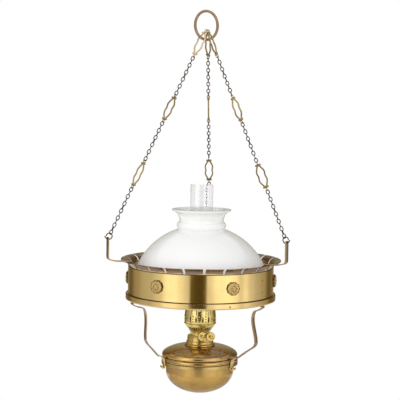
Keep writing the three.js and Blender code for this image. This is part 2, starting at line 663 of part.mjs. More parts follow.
function galleryGeometry() {
  const border = floorHeight + gallery.sheet * 2 + gallery.borderHeight;
  const top = border + gallery.prongHeight;
  const lip = gallery.radius - gallery.sheet;
  const outline = [
    [gallery.floorRadius, floorHeight],
    [gallery.radius, floorHeight],
    [gallery.radius + gallery.beadProud, floorHeight + gallery.sheet],
    [gallery.radius, floorHeight + gallery.sheet * 2],
    [gallery.radius, border],
    [gallery.radius - prong.spring, (border + top) / 2],
    [gallery.radius, top],
    [lip, top],
    [lip - prong.spring, (border + top) / 2],
    [lip, border],
    [lip, floorHeight + gallery.sheet],
    [gallery.floorRadius, floorHeight + gallery.sheet],
  ];
  const slits = Array.from({ length: prong.count }, (unused, i) =>
    box(gallery.radius, prong.slit, gallery.prongHeight + overrun)
      .translate(gallery.radius, 0, border + (gallery.prongHeight + overrun) / 2)
      .rotateZ((2 * Math.PI * (i + 0.5)) / prong.count),
  );
  const leaf = palmette.width / 2;
  const leafOutline = [[0, -palmette.height / 2], [leaf, 0], [0, palmette.height / 2], [-leaf, 0]];
  const leaves = Array.from({ length: palmette.count }, (unused, i) =>
    plate(leafOutline, gallery.radius)
      .translate(0, gallery.radius, floorHeight + gallery.sheet * 2 + gallery.borderHeight / 2)
      .rotateZ((2 * Math.PI * i) / palmette.count),
  );
  return cut(revolved(outline, facetCounts.burner), [...slits, ...leaves]);
}
addPiece("burner_gallery", galleryGeometry(), finish.burnerBrass, burnerGroup);

// Everything in the burner that faces the thumb wheels is turned with them: X across the wicks, -Y to the front.
const wickGroup = new THREE.Group();
wickGroup.rotation.z = atAngle(spindle.turn);
burnerGroup.add(wickGroup);

const galleryFloor = floorHeight + gallery.sheet + clearance;

function deflectorGeometry() {
  const dome = ellipseArc(0, galleryFloor, deflector.radius, deflector.height, 0, 90, 4);
  const inner = ellipseArc(0, galleryFloor, deflector.radius - deflector.sheet, deflector.height - deflector.sheet, 90, 0, 3);
  const slot = box(deflector.slotWidth, deflector.slotLength, deflector.height * 2);
  return cut(revolved([...dome, ...inner], facetCounts.burner), [slot.translate(0, 0, galleryFloor + deflector.height)]);
}
addPiece("flame_deflector", deflectorGeometry(), finish.burnerBrass, wickGroup);

const tubeTop = galleryFloor + deflector.height * 0.66;
const tubeBottom = tubeTop - wickTube.length;
const tubeGap = wick.thickness + 2 * clearance;
const tubeWidth = wick.width + 2 * clearance;

// Two flat wick tubes stand on one plate inside the burner. Each has a window where the feed wheels reach the wick.
function wickTubesGeometry() {
  const plateMiddle = tubeBottom + wickTube.footing;
  const base = rod(wickTube.plateRadius, wickTube.plateHeight, 16).translate(0, 0, plateMiddle);
  const length = wickTube.length;
  const middle = tubeTop - length / 2;
  const places = [-1, 1].map((place) => (place * wick.spacing) / 2);
  const tubes = places.map((x) =>
    box(tubeGap + 2 * wickTube.wall, tubeWidth + 2 * wickTube.wall, length).translate(x, 0, middle),
  );
  const bores = places.map((x) => box(tubeGap, tubeWidth, length + overrun).translate(x, 0, middle));
  const windowSize = feedWheel.diameter + 2 * clearance;
  const windows = [-1, 1].map((place) =>
    box((spindle.spacing - wick.spacing) / 2, tubeWidth - 2 * wickTube.wall, windowSize)
      .translate((place * (spindle.spacing + wick.spacing)) / 4, 0, spindle.height),
  );
  return cut(joined([base, ...tubes]), [...bores, ...windows]);
}
addPiece("wick_tubes", wickTubesGeometry(), finish.burnerBrass, wickGroup);

const wickTop = tubeTop + wick.proud;
[-1, 1].forEach((place, i) => {
  const strip = addPiece(`wick_${i + 1}`, box(wick.thickness, wick.width, wick.reach), finish.cotton, wickGroup);
  strip.position.set((place * wick.spacing) / 2, 0, wickTop - wick.reach / 2);
});

// Spindles with two feed wheels each, and their thumb wheels, the right one further forward
function spindleGeometry(length) {
  const reach = spindle.innerEnd + length;
  const shaft = rod(spindle.diameter / 2, reach, 6).rotateX(Math.PI / 2).translate(0, spindle.innerEnd - reach / 2, 0);
  const wheels = [-1, 1].map((place) =>
    rod(feedWheel.diameter / 2, feedWheel.width, 6)
      .rotateX(Math.PI / 2)
      .translate(0, place * feedWheel.offset, 0),
  );
  return joined([shaft, ...wheels]);
}

function thumbWheelGeometry() {
  const bore = spindle.diameter / 2 + clearance;
  const outline = [
    [bore, 0],
    [thumbWheel.diameter / 2, 0],
    [thumbWheel.diameter / 2, thumbWheel.width],
    [thumbWheel.stepDiameter / 2, thumbWheel.width],
    [thumbWheel.stepDiameter / 2, thumbWheel.width - thumbWheel.dish],
    [thumbWheel.hubDiameter / 2, thumbWheel.width - thumbWheel.dish],
    [thumbWheel.hubDiameter / 2, thumbWheel.width + thumbWheel.hubWidth],
    [bore, thumbWheel.width + thumbWheel.hubWidth],
  ];
  return revolved(outline, facetCounts.knob).rotateX(Math.PI / 2);
}

[-1, 1].forEach((place, i) => {
  const length = place < 0 ? spindle.backLength : spindle.frontLength;
  const shaft = addPiece(`spindle_${i + 1}`, spindleGeometry(length), finish.burnerBrass, wickGroup);
  shaft.position.set((place * spindle.spacing) / 2, 0, spindle.height);
  const wheel = addPiece(`thumb_wheel_${i + 1}`, thumbWheelGeometry(), finish.burnerBrass, wickGroup);
  wheel.position.set((place * spindle.spacing) / 2, -length + thumbWheel.width + thumbWheel.hubWidth, spindle.height);
});

// Chimney: a straight foot in the prongs, a bulge round the flame, a shoulder and a straight tube
function chimneyGeometry() {
  const outside = [
    [chimney.baseRadius, 0],
    [chimney.baseRadius, chimneyHeights.straight],
    [chimney.bulgeRadius, chimneyHeights.bulge],
    [(chimney.bulgeRadius + chimney.tubeRadius) / 2, chimneyHeights.shoulder],
    [chimney.tubeRadius, chimneyHeights.tube],
    [chimney.tubeRadius, chimney.height],
  ];
  return revolved(sheetOutline(outside, chimney.glass), facetCounts.chimney);
}
const chimneyPiece = addPiece("chimney", chimneyGeometry(), finish.clearGlass, burnerGroup);
chimneyPiece.position.z = galleryFloor;

export default lamp;
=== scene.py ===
import math

import bmesh
import bpy
from mathutils import Matrix, Quaternion, Vector


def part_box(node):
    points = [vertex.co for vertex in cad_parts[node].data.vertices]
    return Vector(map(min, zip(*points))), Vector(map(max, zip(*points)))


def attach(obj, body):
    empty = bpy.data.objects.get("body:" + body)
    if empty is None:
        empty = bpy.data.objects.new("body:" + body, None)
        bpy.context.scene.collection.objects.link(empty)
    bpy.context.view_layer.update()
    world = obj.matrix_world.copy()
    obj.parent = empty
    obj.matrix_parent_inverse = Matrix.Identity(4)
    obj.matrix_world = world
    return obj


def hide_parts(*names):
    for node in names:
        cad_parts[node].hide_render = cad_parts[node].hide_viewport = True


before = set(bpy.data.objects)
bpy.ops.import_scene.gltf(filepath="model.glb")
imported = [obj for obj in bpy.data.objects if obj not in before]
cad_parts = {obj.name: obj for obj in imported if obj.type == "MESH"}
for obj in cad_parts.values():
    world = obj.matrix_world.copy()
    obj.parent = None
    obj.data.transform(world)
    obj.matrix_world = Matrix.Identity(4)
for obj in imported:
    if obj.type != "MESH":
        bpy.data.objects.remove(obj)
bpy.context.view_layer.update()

MM = 0.001
CLEARANCE = 0.3

# Driving dimensions, in millimetres and degrees
ring = dict(radius=24.9, wire=4.8, turn=43)
chain = dict(first_link=9.7, spacing=126.95, run_below=24.85)
chain_seats = dict(left=-9.6, back=3.7, right=10.2)
facings = dict(left=(-29, -32, -42), back=(-47, -85, 5), right=(-60, -35, 5))
run_counts = (11, 11, 13)
wire_link = dict(width=6.7, wire=1.65, pitch=6.8, length=9.25, drift=9)
bar_link = dict(width=16, rail=2.5, thickness=2.8, bar_spacing=40.3)
bar_eye = dict(diameter=6.4, wire=1.5, reach=4.6)
knuckle = dict(tip=0.9, swell=1.35, shoulder=3.4, reach=5)
hook = dict(diameter=12.8, wire=2, tail=6, middle=382.1)
arm = dict(width=9, thickness=2, top_radius=177, eye_margin=3.4, eye=4.2, rise=35.5, bend=6)
arm_below = dict(waist_drop=23, bulge_drop=66)
waists = dict(left=105, right=111.5, back=110)
bulges = dict(left=105.5, right=118, back=113.5)
foot = dict(strap=9.6, rise=13, scroll=2.3)
band = dict(radius=129.2, sheet=1.2, wall=48.5, rim_radius=142.2, rim_height=11.5, drop=42.8)
rim_slot = dict(count=24, outer=6, inner=3.2, rise=1.5)
hoop = dict(radius=133.3, sheet=1.2, height=10.6, ledge_radius=116, lap=1.6, gutter=1.1)
rosette = dict(diameter=23.5, edge=2.2, height=5.4, count=6, share=0.47)
rivet = dict(radius=1.9, proud=0.7, root=0.4, sunk=0.1)
wall_rivets = dict(shares=(0.3, 0.72))
lip_rivets = dict(share=0.6, angles=(27, 147, 267))
shade = dict(base=124.4, dome=122, neck=40, glass=2.6, collar=34.5, top=52.6)
shade_bead = dict(radius=43.8, height=12, waist=39.2)
cradle = dict(radius=68, width=3.6, height=6.2, drop=110.2)
font = dict(bead=68, bead_height=8, shell=1.1, bowl=60, depth=58.2, wall=19, top=18.4, mouth=19)
collar = dict(radius=22.4, wall=1.5, height=8.5, step=24.2, flange=26.9, flange_height=8)
chimney = dict(base=25.6, bulge=29, tube=20, glass=1.8, height=245.7)
chimney_heights = dict(base=30, bulge=46, shoulder=74, tube=90, straight=110)
burner = dict(sheet=0.9, skirt=9, neck=17, neck_height=6.8, cone=14.2, cone_radius=26.6)
air_slot = dict(count=34, width=2.1, low=11.2, high=18.0)
gallery = dict(radius=27.9, sheet=0.8, border=16.4, prong=13.2, floor=21.5, bead=0.9)
prong = dict(count=20, slit=1.3)
arch = dict(count=15, width=3.4, height=8.6, rim=0.55, margin=0.7, head_margin=0.8, start=-4)
drops = (
    dict(width=2.6, height=3.4, rise=5.6),
    dict(width=2.2, height=2.6, rise=0.8),
    dict(width=2.4, height=2.2, rise=-3.6),
)
deflector = dict(radius=23.2, sheet=0.8, height=17, slot_length=29, slot_width=15.5)
spindle = dict(diameter=2.6, spacing=13.6, turn=20.5, height=5.7, inner=13, front=50, back=44)
feed_wheel = dict(diameter=4.2, width=3, offset=6.5)
thumb_wheel = dict(diameter=16, width=5.5, hub=6, hub_width=2.2, knurl=0.28)

SIDES = dict(left=-60, right=60, back=180)


def outward(degrees):
    """The level direction at that angle from the front."""
    turned = math.radians(degrees)
    return Vector((math.sin(turned), -math.cos(turned), 0))


# Places on the lamp, in millimetres
hoop_low, hoop_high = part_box("lower_hoop")
AXIS = (hoop_low + hoop_high) / 2 / MM
WALL_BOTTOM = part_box("shade_band")[0].z / MM
WALL_TOP = WALL_BOTTOM + band["wall"]
BAND_TOP = WALL_TOP + band["rim_height"]
HOLES = Vector((AXIS.x, AXIS.y, BAND_TOP + band["drop"]))
ARM_WALL = band["radius"] - band["sheet"] - 2 * CLEARANCE - arm["thickness"] / 2
LEDGE = WALL_BOTTOM - CLEARANCE
HOOP_TOP = LEDGE + hoop["lap"]
HOOP_BOTTOM = HOOP_TOP - hoop["height"]
CRADLE_TOP = HOOP_BOTTOM - cradle["drop"]
FONT_ZERO = CRADLE_TOP + CLEARANCE
COLLAR_BASE = FONT_ZERO + font["bead_height"] + font["top"] + CLEARANCE
COLLAR_TOP = COLLAR_BASE + collar["flange_height"] + collar["height"]
RING_MIDDLE = Vector((0, 0, ring["wire"] / 2 - ring["radius"]))
RING_TURN = math.radians(ring["turn"])

# Heights in the font, from its bead's foot, and in the burner, from the collar's top
SEAM = font["bead_height"] * 0.35
SHOULDER = CLEARANCE + burner["sheet"]
NECK_TOP = SHOULDER + burner["neck_height"]
CONE_TOP = NECK_TOP + burner["cone"]
FLOOR = CONE_TOP + CLEARANCE
BORDER_FOOT = FLOOR + gallery["sheet"] * 2
BORDER_TOP = BORDER_FOOT + gallery["border"]


def on_axis(height):
    return Vector((AXIS.x, AXIS.y, height))


# Shader sums
class Value:
    """A socket that can be reckoned with in plain sums."""

    def __init__(self, finish, socket):
        self.finish = finish
        self.socket = socket

    def sum(self, operation, other, swapped=False):
        pair = (other, self) if swapped else (self, other)
        return self.finish.node("ShaderNodeMath", dict(operation=operation), {0: pair[0], 1: pair[1]})

    def __add__(self, other):
        return self.sum("ADD", other)

    def __radd__(self, other):
        return self.sum("ADD", other, True)

    def __sub__(self, other):
        return self.sum("SUBTRACT", other)

    def __rsub__(self, other):
        return self.sum("SUBTRACT", other, True)

    def __mul__(self, other):
        return self.sum("MULTIPLY", other)

    def __rmul__(self, other):
        return self.sum("MULTIPLY", other, True)

    def __truediv__(self, other):
        return self.sum("DIVIDE", other)

    def __rtruediv__(self, other):
        return self.sum("DIVIDE", other, True)

    def __abs__(self):
        return self.finish.node("ShaderNodeMath", dict(operation="ABSOLUTE"), {0: self})


class Finish:
    """A material, or the world, and the nodes that make it."""

    def __init__(self, name, owner=None):
        self.owner = owner or bpy.data.materials.new(name)
        self.owner.use_nodes = True
        self.tree = self.owner.node_tree
        self.tree.nodes.clear()

    def node(self, kind, settings=None, sockets=None, output=0):
        made = self.tree.nodes.new(kind)
        for key, value in (settings or {}).items():
            if key == "stops":
                for element, (place, colour) in zip(self.stops(made.color_ramp, len(value)), value):
                    element.position = place
                    element.color = (*colour, 1)
            else:
                setattr(made, key, value)
        for key, value in (sockets or {}).items():
            if isinstance(value, Value):
                self.tree.links.new(value.socket, made.inputs[key])
            elif made.inputs[key].type == "RGBA" and len(value) == 3:
                made.inputs[key].default_value = (*value, 1)
            else:
                made.inputs[key].default_value = value
        return Value(self, made.outputs[output]) if made.outputs else None

    def stops(self, ramp, count):
        ramp.interpolation = "EASE"
        while len(ramp.elements) < count:
            ramp.elements.new(1)
        return ramp.elements

    def place(self):
        return self.node("ShaderNodeTexCoord", output="Object")

    def vector(self, operation, first, second, output=0):
        return self.node("ShaderNodeVectorMath", dict(operation=operation), {0: first, 1: second}, output)

    def stretched(self, place, scale):
        return self.vector("MULTIPLY", place, scale)

    def along(self, place, axis):
        return self.node("ShaderNodeSeparateXYZ", None, dict(Vector=place), output=axis)

    def noise(self, place, scale, detail=3, roughness=0.5):
        sockets = dict(Vector=place, Scale=scale, Detail=detail, Roughness=roughness)
        return self.node("ShaderNodeTexNoise", None, sockets)

    def between(self, value, low, high, start=0, end=1):
        sockets = {"Value": value, "From Min": low, "From Max": high, "To Min": start, "To Max": end}
        return self.node("ShaderNodeMapRange", dict(interpolation_type="SMOOTHSTEP"), sockets)

    def mix(self, share, first, second):
        settings = dict(data_type="RGBA", clamp_factor=True)
        return self.node("ShaderNodeMix", settings, {0: share, 6: first, 7: second}, output=2)

    def bump(self, height, distance, strength=1.0):
        return self.node("ShaderNodeBump", None, dict(Height=height, Distance=distance, Strength=strength))

    def surface(self, **sockets):
        named = {key.replace("_", " "): value for key, value in sockets.items()}
        shader = self.node("ShaderNodeBsdfPrincipled", None, named)
        self.node("ShaderNodeOutputMaterial", None, dict(Surface=shader))
        return self.owner


def brass(
    name, tone, shade_tone, roughness, tarnish, marks, spots=0.0, coat=0.1, relief=0.2,
    bloom=None, above=(), inside=None, lines=(), rings=(),
):
    """Lacquered brass with cloudy tarnish, polishing marks round the lamp and a few brown spots.

    bloom is a second tarnish in broad clouds. above holds heights over which the tone changes, with how
    soft the change is. inside is the tone of the faces that look to the axis. lines and rings are narrow
    stretches of another tone, at a height or at a distance from the piece's own middle.
    """
    finish = Finish(name)
    place = finish.place()
    height = finish.along(place, "Z")
    grain = finish.stretched(place, (1, 1, 14))
    cloud = finish.between(finish.noise(place, 26, 5, 0.6), 0.35, 0.7)
    fine = finish.noise(grain, 160, 4, 0.65)
    broad = finish.noise(grain, 30, 3, 0.5)
    share = cloud * tarnish + finish.between(fine, 0.3, 0.8) * (marks * 0.5)
    colour = finish.mix(share, tone, shade_tone)
    if bloom:
        drift = finish.between(finish.noise(place, 17, 2, 0.4), 0.42, 0.68)
        colour = finish.mix(drift * 0.8, colour, bloom)
    if spots:
        dots = finish.node("ShaderNodeTexVoronoi", dict(feature="F1"), dict(Vector=place, Scale=55.0))
        freckle = finish.between(dots, 0.1, 0.04)
        colour = finish.mix(freckle * spots, colour, tuple(c * 0.35 for c in shade_tone))
    dull = 0.0
    # Painted reflection and painted shade: the tone changes above a height.
    for start, soft, toned in above:
        reach = finish.between(height + (cloud - 0.5) * (soft * 0.8), start, start + soft)
        colour = finish.mix(reach, colour, toned)
        dull = reach * 0.12 + dull
    # Painted shade on the faces that look to the axis.
    if inside:
        facing = finish.node("ShaderNodeTexCoord", output="Normal")
        out = finish.vector("DOT_PRODUCT", facing, finish.stretched(place, (1, 1, 0)), "Value")
        colour = finish.mix(finish.between(out, -0.002, -0.006), colour, inside)
    # Painted shade and painted highlight in narrow bands at a height.
    for middle, half, toned in lines:
        colour = finish.mix(finish.between(abs(height - middle), half * 1.4, half * 0.6), colour, toned)
    # Painted shade in rings round the piece's middle.
    for radius, half, toned in rings:
        away = finish.node("ShaderNodeVectorMath", dict(operation="LENGTH"), {0: place}, "Value")
        colour = finish.mix(finish.between(abs(away - radius), half * 1.5, half * 0.5), colour, toned)
    rough = finish.between(broad * 0.5 + cloud * 0.5, 0.2, 0.8, roughness * 0.75, roughness * 1.35) + dull
    return finish.surface(
        Base_Color=colour,
        Metallic=1.0,
        Roughness=rough,
        Normal=finish.bump(fine * marks + broad * 0.4, 0.00012, relief),
        Coat_Weight=coat,
        Coat_Roughness=0.08,
    )


def opal_glass():
    """White glass, a little greener in the neck, with faint clouds and ripples."""
    finish = Finish("opal_glass")
    place = finish.place()
    neck = finish.between(finish.along(place, "Z"), 0.112, 0.119)
    cloud = finish.between(finish.noise(place, 14, 3, 0.5), 0.3, 0.8)
    colour = finish.mix(neck, (0.94, 0.94, 0.935), (0.915, 0.925, 0.905))
    return finish.surface(
        Base_Color=finish.mix(cloud * 0.25, colour, (0.91, 0.92, 0.905)),
        Roughness=0.2,
        Normal=finish.bump(finish.noise(place, 60, 2), 0.0002, 0.15),
        Coat_Weight=0.4,
        Coat_Roughness=0.05,
    )


def clear_glass():
    """Clear glass with long faint ripples and traces of smoke."""
    finish = Finish("chimney_glass")
    place = finish.place()
    ripple = finish.noise(finish.stretched(place, (1, 1, 0.25)), 45, 3)
    smoke = finish.between(finish.noise(place, 25, 4, 0.6), 0.45, 0.8)
    return finish.surface(
        Base_Color=finish.mix(smoke * 0.6, (0.93, 0.93, 0.93), (0.80, 0.80, 0.795)),
        Roughness=0.02,
        IOR=1.47,
        Transmission_Weight=1.0,
        Normal=finish.bump(ripple, 0.0006, 0.3),
    )


def cotton():
    """Woven wick."""
    finish = Finish("wick_cotton")
    weave = finish.node("ShaderNodeTexWave", None, dict(Vector=finish.place(), Scale=320.0, Distortion=1.0))
    return finish.surface(
        Base_Color=finish.mix(weave, (0.55, 0.49, 0.38), (0.75, 0.70, 0.58)),
        Roughness=0.95,
        Normal=finish.bump(weave, 0.0002, 0.5),
    )


# Painted reflection: the band's flared rim is painted dark brown where it mirrors darker surroundings.
RIM_PAINTED_REFLECTION = (0.31, 0.215, 0.155)
# Painted shade for the gutter between the band and the lip.
GUTTER_PAINTED_SHADE = (0.10, 0.06, 0.012)
FINISHES = dict(
    ring=brass(
        "ring_brass", (0.46, 0.30, 0.16), (0.17, 0.11, 0.06),
        roughness=0.24, tarnish=0.55, marks=0.4, coat=0.04,
    ),
    bar_link=brass(
        "bar_link_brass", (0.50, 0.37, 0.155), (0.14, 0.10, 0.04),
        roughness=0.33, tarnish=0.7, marks=0.4, coat=0.04,
    ),
    # Painted highlight: a paler copy of the bar-link brass, for the one link that catches the light.
    lit_link=brass(
        "lit_link_brass", (0.80, 0.65, 0.40), (0.42, 0.31, 0.16),
        roughness=0.30, tarnish=0.4, marks=0.3,
    ),
    wire=brass(
        "chain_wire", (0.14, 0.092, 0.07), (0.045, 0.03, 0.024),
        roughness=0.38, tarnish=0.6, marks=0.5, coat=0.03,
    ),
    band=brass(
        "band_brass", (0.85, 0.63, 0.26), (0.66, 0.45, 0.15),
        roughness=0.085, tarnish=0.3, marks=0.25, spots=0.35, coat=0.06, relief=0.1,
        # Painted reflection: the flare above the wall's top turns dark brown.
        above=[(0.0008, 0.003, RIM_PAINTED_REFLECTION)],
        # Painted shade: a dark line at the foot of the flare, where the wall turns outward.
        lines=[(0.0009, 0.0007, (0.09, 0.055, 0.03))],
    ),
    lip=brass(
        "lip_brass", (0.80, 0.585, 0.25), (0.62, 0.42, 0.15),
        roughness=0.12, tarnish=0.3, marks=0.25, spots=0.35, coat=0.06, relief=0.12,
        # Painted shade: the top of the lip and its gutter by the band turn nearly black.
        above=[(0.0004, 0.0004, GUTTER_PAINTED_SHADE)],
    ),
    cradle=brass(
        "cradle_brass", (0.56, 0.41, 0.155), (0.30, 0.20, 0.07),
        roughness=0.24, tarnish=0.6, marks=0.3,
    ),
    foot=brass(
        "foot_brass", (0.74, 0.55, 0.22), (0.45, 0.31, 0.11),
        roughness=0.22, tarnish=0.45, marks=0.3,
    ),
    rosette=brass(
        "rosette_brass", (0.76, 0.55, 0.22), (0.38, 0.25, 0.085),
        roughness=0.24, tarnish=0.4, marks=0.3, coat=0.04,
        # Painted shade: dark rings at the flower's edge and in a groove.
        rings=[(0.0114, 0.0006, (0.20, 0.13, 0.05)), (0.0064, 0.0006, (0.34, 0.23, 0.085))],
    ),
    arm=brass(
        "arm_brass", (0.42, 0.295, 0.16), (0.19, 0.125, 0.065),
        roughness=0.22, tarnish=0.5, marks=0.3, coat=0.04,
    ),
    font=brass(
        "font_brass", (0.60, 0.37, 0.11), (0.33, 0.19, 0.055),
        roughness=0.25, tarnish=0.65, marks=0.4, spots=0.15, coat=0.04, relief=0.06,
        bloom=(0.48, 0.30, 0.14),
        # Painted shadow: a dark line under the bead, in the gap above the cradle.
        lines=[(-0.0004, 0.0009, (0.10, 0.065, 0.03))],
    ),
    font_top=brass(
        # The top's tone is set lighter than the bowl's: a painted highlight on its upward face, over its own
        # tarnish.
        "font_top_brass", (0.72, 0.47, 0.16), (0.34, 0.20, 0.07),
        roughness=0.16, tarnish=0.7, marks=0.5, spots=0.15, coat=0.05, relief=0.06,
        bloom=(0.50, 0.33, 0.18),
        # Painted shade: a dark line in the groove between the bead's two rolls.
        lines=[(0.0076, 0.0007, (0.09, 0.06, 0.03))],
    ),
    collar=brass(
        "collar_brass", (0.72, 0.50, 0.16), (0.45, 0.29, 0.085),
        roughness=0.2, tarnish=0.4, marks=0.3, coat=0.04,
    ),
    gallery=brass(
        "gallery_brass", (0.84, 0.66, 0.25), (0.56, 0.40, 0.11),
        roughness=0.16, tarnish=0.4, marks=0.3, coat=0.04,
        # Painted shade: the gallery's faces that look to the axis are nearly black.
        inside=(0.06, 0.04, 0.015),
    ),
    burner=brass(
        "burner_brass", (0.82, 0.64, 0.235), (0.56, 0.40, 0.11),
        roughness=0.18, tarnish=0.4, marks=0.3, coat=0.04,
    ),
    cone=brass(
        "cone_brass", (0.86, 0.67, 0.24), (0.58, 0.42, 0.11),
        roughness=0.34, tarnish=0.45, marks=0.3, coat=0.04,
        # Painted shade: the cone's faces that look to the axis are nearly black.
        inside=(0.03, 0.02, 0.008),
        # Painted highlight: a pale band over the air slots.
        lines=[(0.0146, 0.0038, (1.0, 0.87, 0.46))],
    ),
    wick=cotton(),
    clear=clear_glass(),
    opal=opal_glass(),
)


# Lines and outlines
def around(count, first=0):
    """That many angles once round, in radians."""
    return [2 * math.pi * (i + first) / count for i in range(count)]


def through(points, steps):
    """A smooth line through the points, with that many steps from each to the next."""
    count = len(points)
    spot = [Vector(p) for p in points]
    line = []
    for i in range(count - 1):
        here, after = spot[i], spot[i + 1]
        before, beyond = spot[max(i - 1, 0)], spot[min(i + 2, count - 1)]
        for k in range(steps):
            t = k / steps
            leave, arrive = (after - before) / 2, (beyond - here) / 2
            swing = (2 * t**3 - 3 * t**2 + 1) * here + (t**3 - 2 * t**2 + t) * leave
            line.append(swing + (-2 * t**3 + 3 * t**2) * after + (t**3 - t**2) * arrive)
    return line + [spot[-1]]


def oval(half_width, half_height, start, end, steps, middle=(0, 0)):
    """Points on an ellipse from one angle to another, in degrees."""
    turns = [math.radians(start + (end - start) * i / steps) for i in range(steps + 1)]
    return [(middle[0] + half_width * math.cos(t), middle[1] + half_height * math.sin(t)) for t in turns]


def sheet_outline(points, thickness):
    """The closed outline of a sheet whose outer face follows the points of radius and height."""
    inner = []
    for i, (r, z) in enumerate(points):
        before, after = points[max(i - 1, 0)], points[min(i + 1, len(points) - 1)]
        dr, dz = after[0] - before[0], after[1] - before[1]
        length = math.hypot(dr, dz)
        inner.append((r - thickness * dz / length, z + thickness * dr / length))
    return points + inner[::-1]


# Pieces in mesh code
class Shell:
    """Corners and faces of a piece that is being made, in millimetres."""

    def __init__(self):
        self.corners = []
        self.faces = []

    def add(self, corners, faces, place=None):
        first = len(self.corners)
        self.corners += [place @ Vector(c) if place else Vector(c) for c in corners]
        self.faces += [[first + i for i in face] for face in faces]
        return self

    def join(self, other, place=None):
        return self.add(other.corners, other.faces, place)

    def rows(self, rows, place=None, closed=True):
        """Joins rows of as many corners each into a skin. Closed rows run round to the first again."""
        width = len(rows[0])
        faces = []
        for i in range(len(rows) - (0 if closed else 1)):
            here, there = i * width, (i + 1) % len(rows) * width
            for j in range(width):
                beside = (j + 1) % width
                faces.append((here + j, here + beside, there + beside, there + j))
        if not closed:
            last = (len(rows) - 1) * width
            faces += [tuple(range(width))[::-1], tuple(last + j for j in range(width))]
        return self.add([c for row in rows for c in row], faces, place)

    def turned(self, outline, segments):
        """Turns a closed outline of radius and height about Z."""
        rows = [[(r * math.cos(t), r * math.sin(t), z) for r, z in outline] for t in around(segments)]
        return self.rows(rows)

    def wire(self, path, radius, sides, closed=False, place=None, flat=1.0):
        """Round wire along a path. A flat share other than 1 makes it oval."""
        spots = [Vector(p) for p in path]
        count = len(spots)
        rows = []
        normal = None
        for i, spot in enumerate(spots):
            before = spots[i - 1] if closed or i else spot
            after = spots[(i + 1) % count] if closed or i < count - 1 else spot
            along = (after - before).normalized()
            if normal is None:
                normal = self.square_to_ring(spots, along) if closed else along.orthogonal().normalized()
            normal = (normal - along * normal.dot(along)).normalized()
            across = along.cross(normal)
            size = radius(i / (count - 1)) if callable(radius) else radius
            section = [(size * flat * math.cos(t), size * math.sin(t)) for t in around(sides, 0.5)]
            rows.append([spot + normal * a + across * b for a, b in section])
        return self.rows(rows, place, closed)

    def square_to_ring(self, spots, along):
        """The direction square to a flat ring of points."""
        middle = sum(spots, Vector()) / len(spots)
        return (spots[0] - middle).cross(along).normalized()

    def strip(self, path, width, thickness, place, corner=0.45):
        """A flat strip with eased edges. The path gives radius and height, and the width lies along Y."""
        rows = []
        half_width, half_sheet = width / 2, thickness / 2
        ease = min(corner, half_sheet * 0.9)
        section = [
            (half_sheet, half_width - ease),
            (half_sheet - ease * 0.3, half_width - ease * 0.3),
            (half_sheet - ease, half_width),
            (ease - half_sheet, half_width),
            (ease * 0.3 - half_sheet, half_width - ease * 0.3),
            (-half_sheet, half_width - ease),
        ]
        section += [(a, -b) for a, b in section[::-1]]
        for i, spot in enumerate(path):
            before, after = path[max(i - 1, 0)], path[min(i + 1, len(path) - 1)]
            along = (after - before).normalized()
            side = Vector((-along.y, along.x))
            rows.append([(spot[0] + side.x * a, b, spot[1] + side.y * a) for a, b in section])
        return self.rows(rows, place, closed=False)


BOX_FACES = [(0, 1, 3, 2), (4, 6, 7, 5), (0, 4, 5, 1), (2, 3, 7, 6), (0, 2, 6, 4), (1, 5, 7, 3)]


def block(x, y, z, place):
    """A cutter's block."""
    corners = [(i * x / 2, j * y / 2, k * z / 2) for i in (-1, 1) for j in (-1, 1) for k in (-1, 1)]
    return Shell().add(corners, BOX_FACES, place)


def rod(radius, length, place, sides=20):
    """A cutter's round bar along Z."""
    ends = (-length / 2, length / 2)
    rows = [[(radius * math.cos(t), radius * math.sin(t), z) for t in around(sides)] for z in ends]
    return Shell().rows(rows, place, closed=False)


def oval_bar(width, height, length, place, sides=14):
    """A cutter's bar of oval section along X."""
    ends = (-length / 2, length / 2)
    rows = [[(x, width / 2 * math.cos(t), height / 2 * math.sin(t)) for t in around(sides)] for x in ends]
    return Shell().rows(rows, place, closed=False)


def turn(degrees, axis="Z"):
    return Matrix.Rotation(math.radians(degrees), 4, axis)


def shift(x, y, z):
    return Matrix.Translation((x, y, z))


def added(name, data):
    """A new object in the scene."""
    made = bpy.data.objects.new(name, data)
    bpy.context.scene.collection.objects.link(made)
    return made


def solid_mesh(name, shell, welded=True):
    """The shell as a mesh in metres, with its faces turned outward."""
    mesh = bpy.data.meshes.new(name)
    mesh.from_pydata([c * MM for c in shell.corners], [], shell.faces)
    work = bmesh.new()
    work.from_mesh(mesh)
    if welded:
        bmesh.ops.remove_doubles(work, verts=work.verts, dist=MM / 1000)
        flat = {f for f in work.faces if f.calc_area() < MM * MM / 1e6}
        edges = [e for e in work.edges if not flat.isdisjoint(e.link_faces)]
        bmesh.ops.dissolve_degenerate(work, edges=edges, dist=MM / 1000)
    bmesh.ops.recalc_face_normals(work, faces=work.faces)
    work.to_mesh(mesh)
    work.free()
    return mesh


def cut_with(made, shell):
    """Cuts the shell's space out of a piece. Both are drawn about the same point."""
    tool = added("cutter", solid_mesh("cutter", shell, welded=False))
    tool.location = made.location
    modifier = made.modifiers.new("cut", "BOOLEAN")
    modifier.operation, modifier.solver, modifier.object = "DIFFERENCE", "EXACT", tool
    modifier.use_self = True
    bpy.context.view_layer.update()
    graph = bpy.context.evaluated_depsgraph_get()
    mesh = bpy.data.meshes.new_from_object(made.evaluated_get(graph))
    made.modifiers.clear()
    made.data = mesh
    bpy.data.objects.remove(tool)


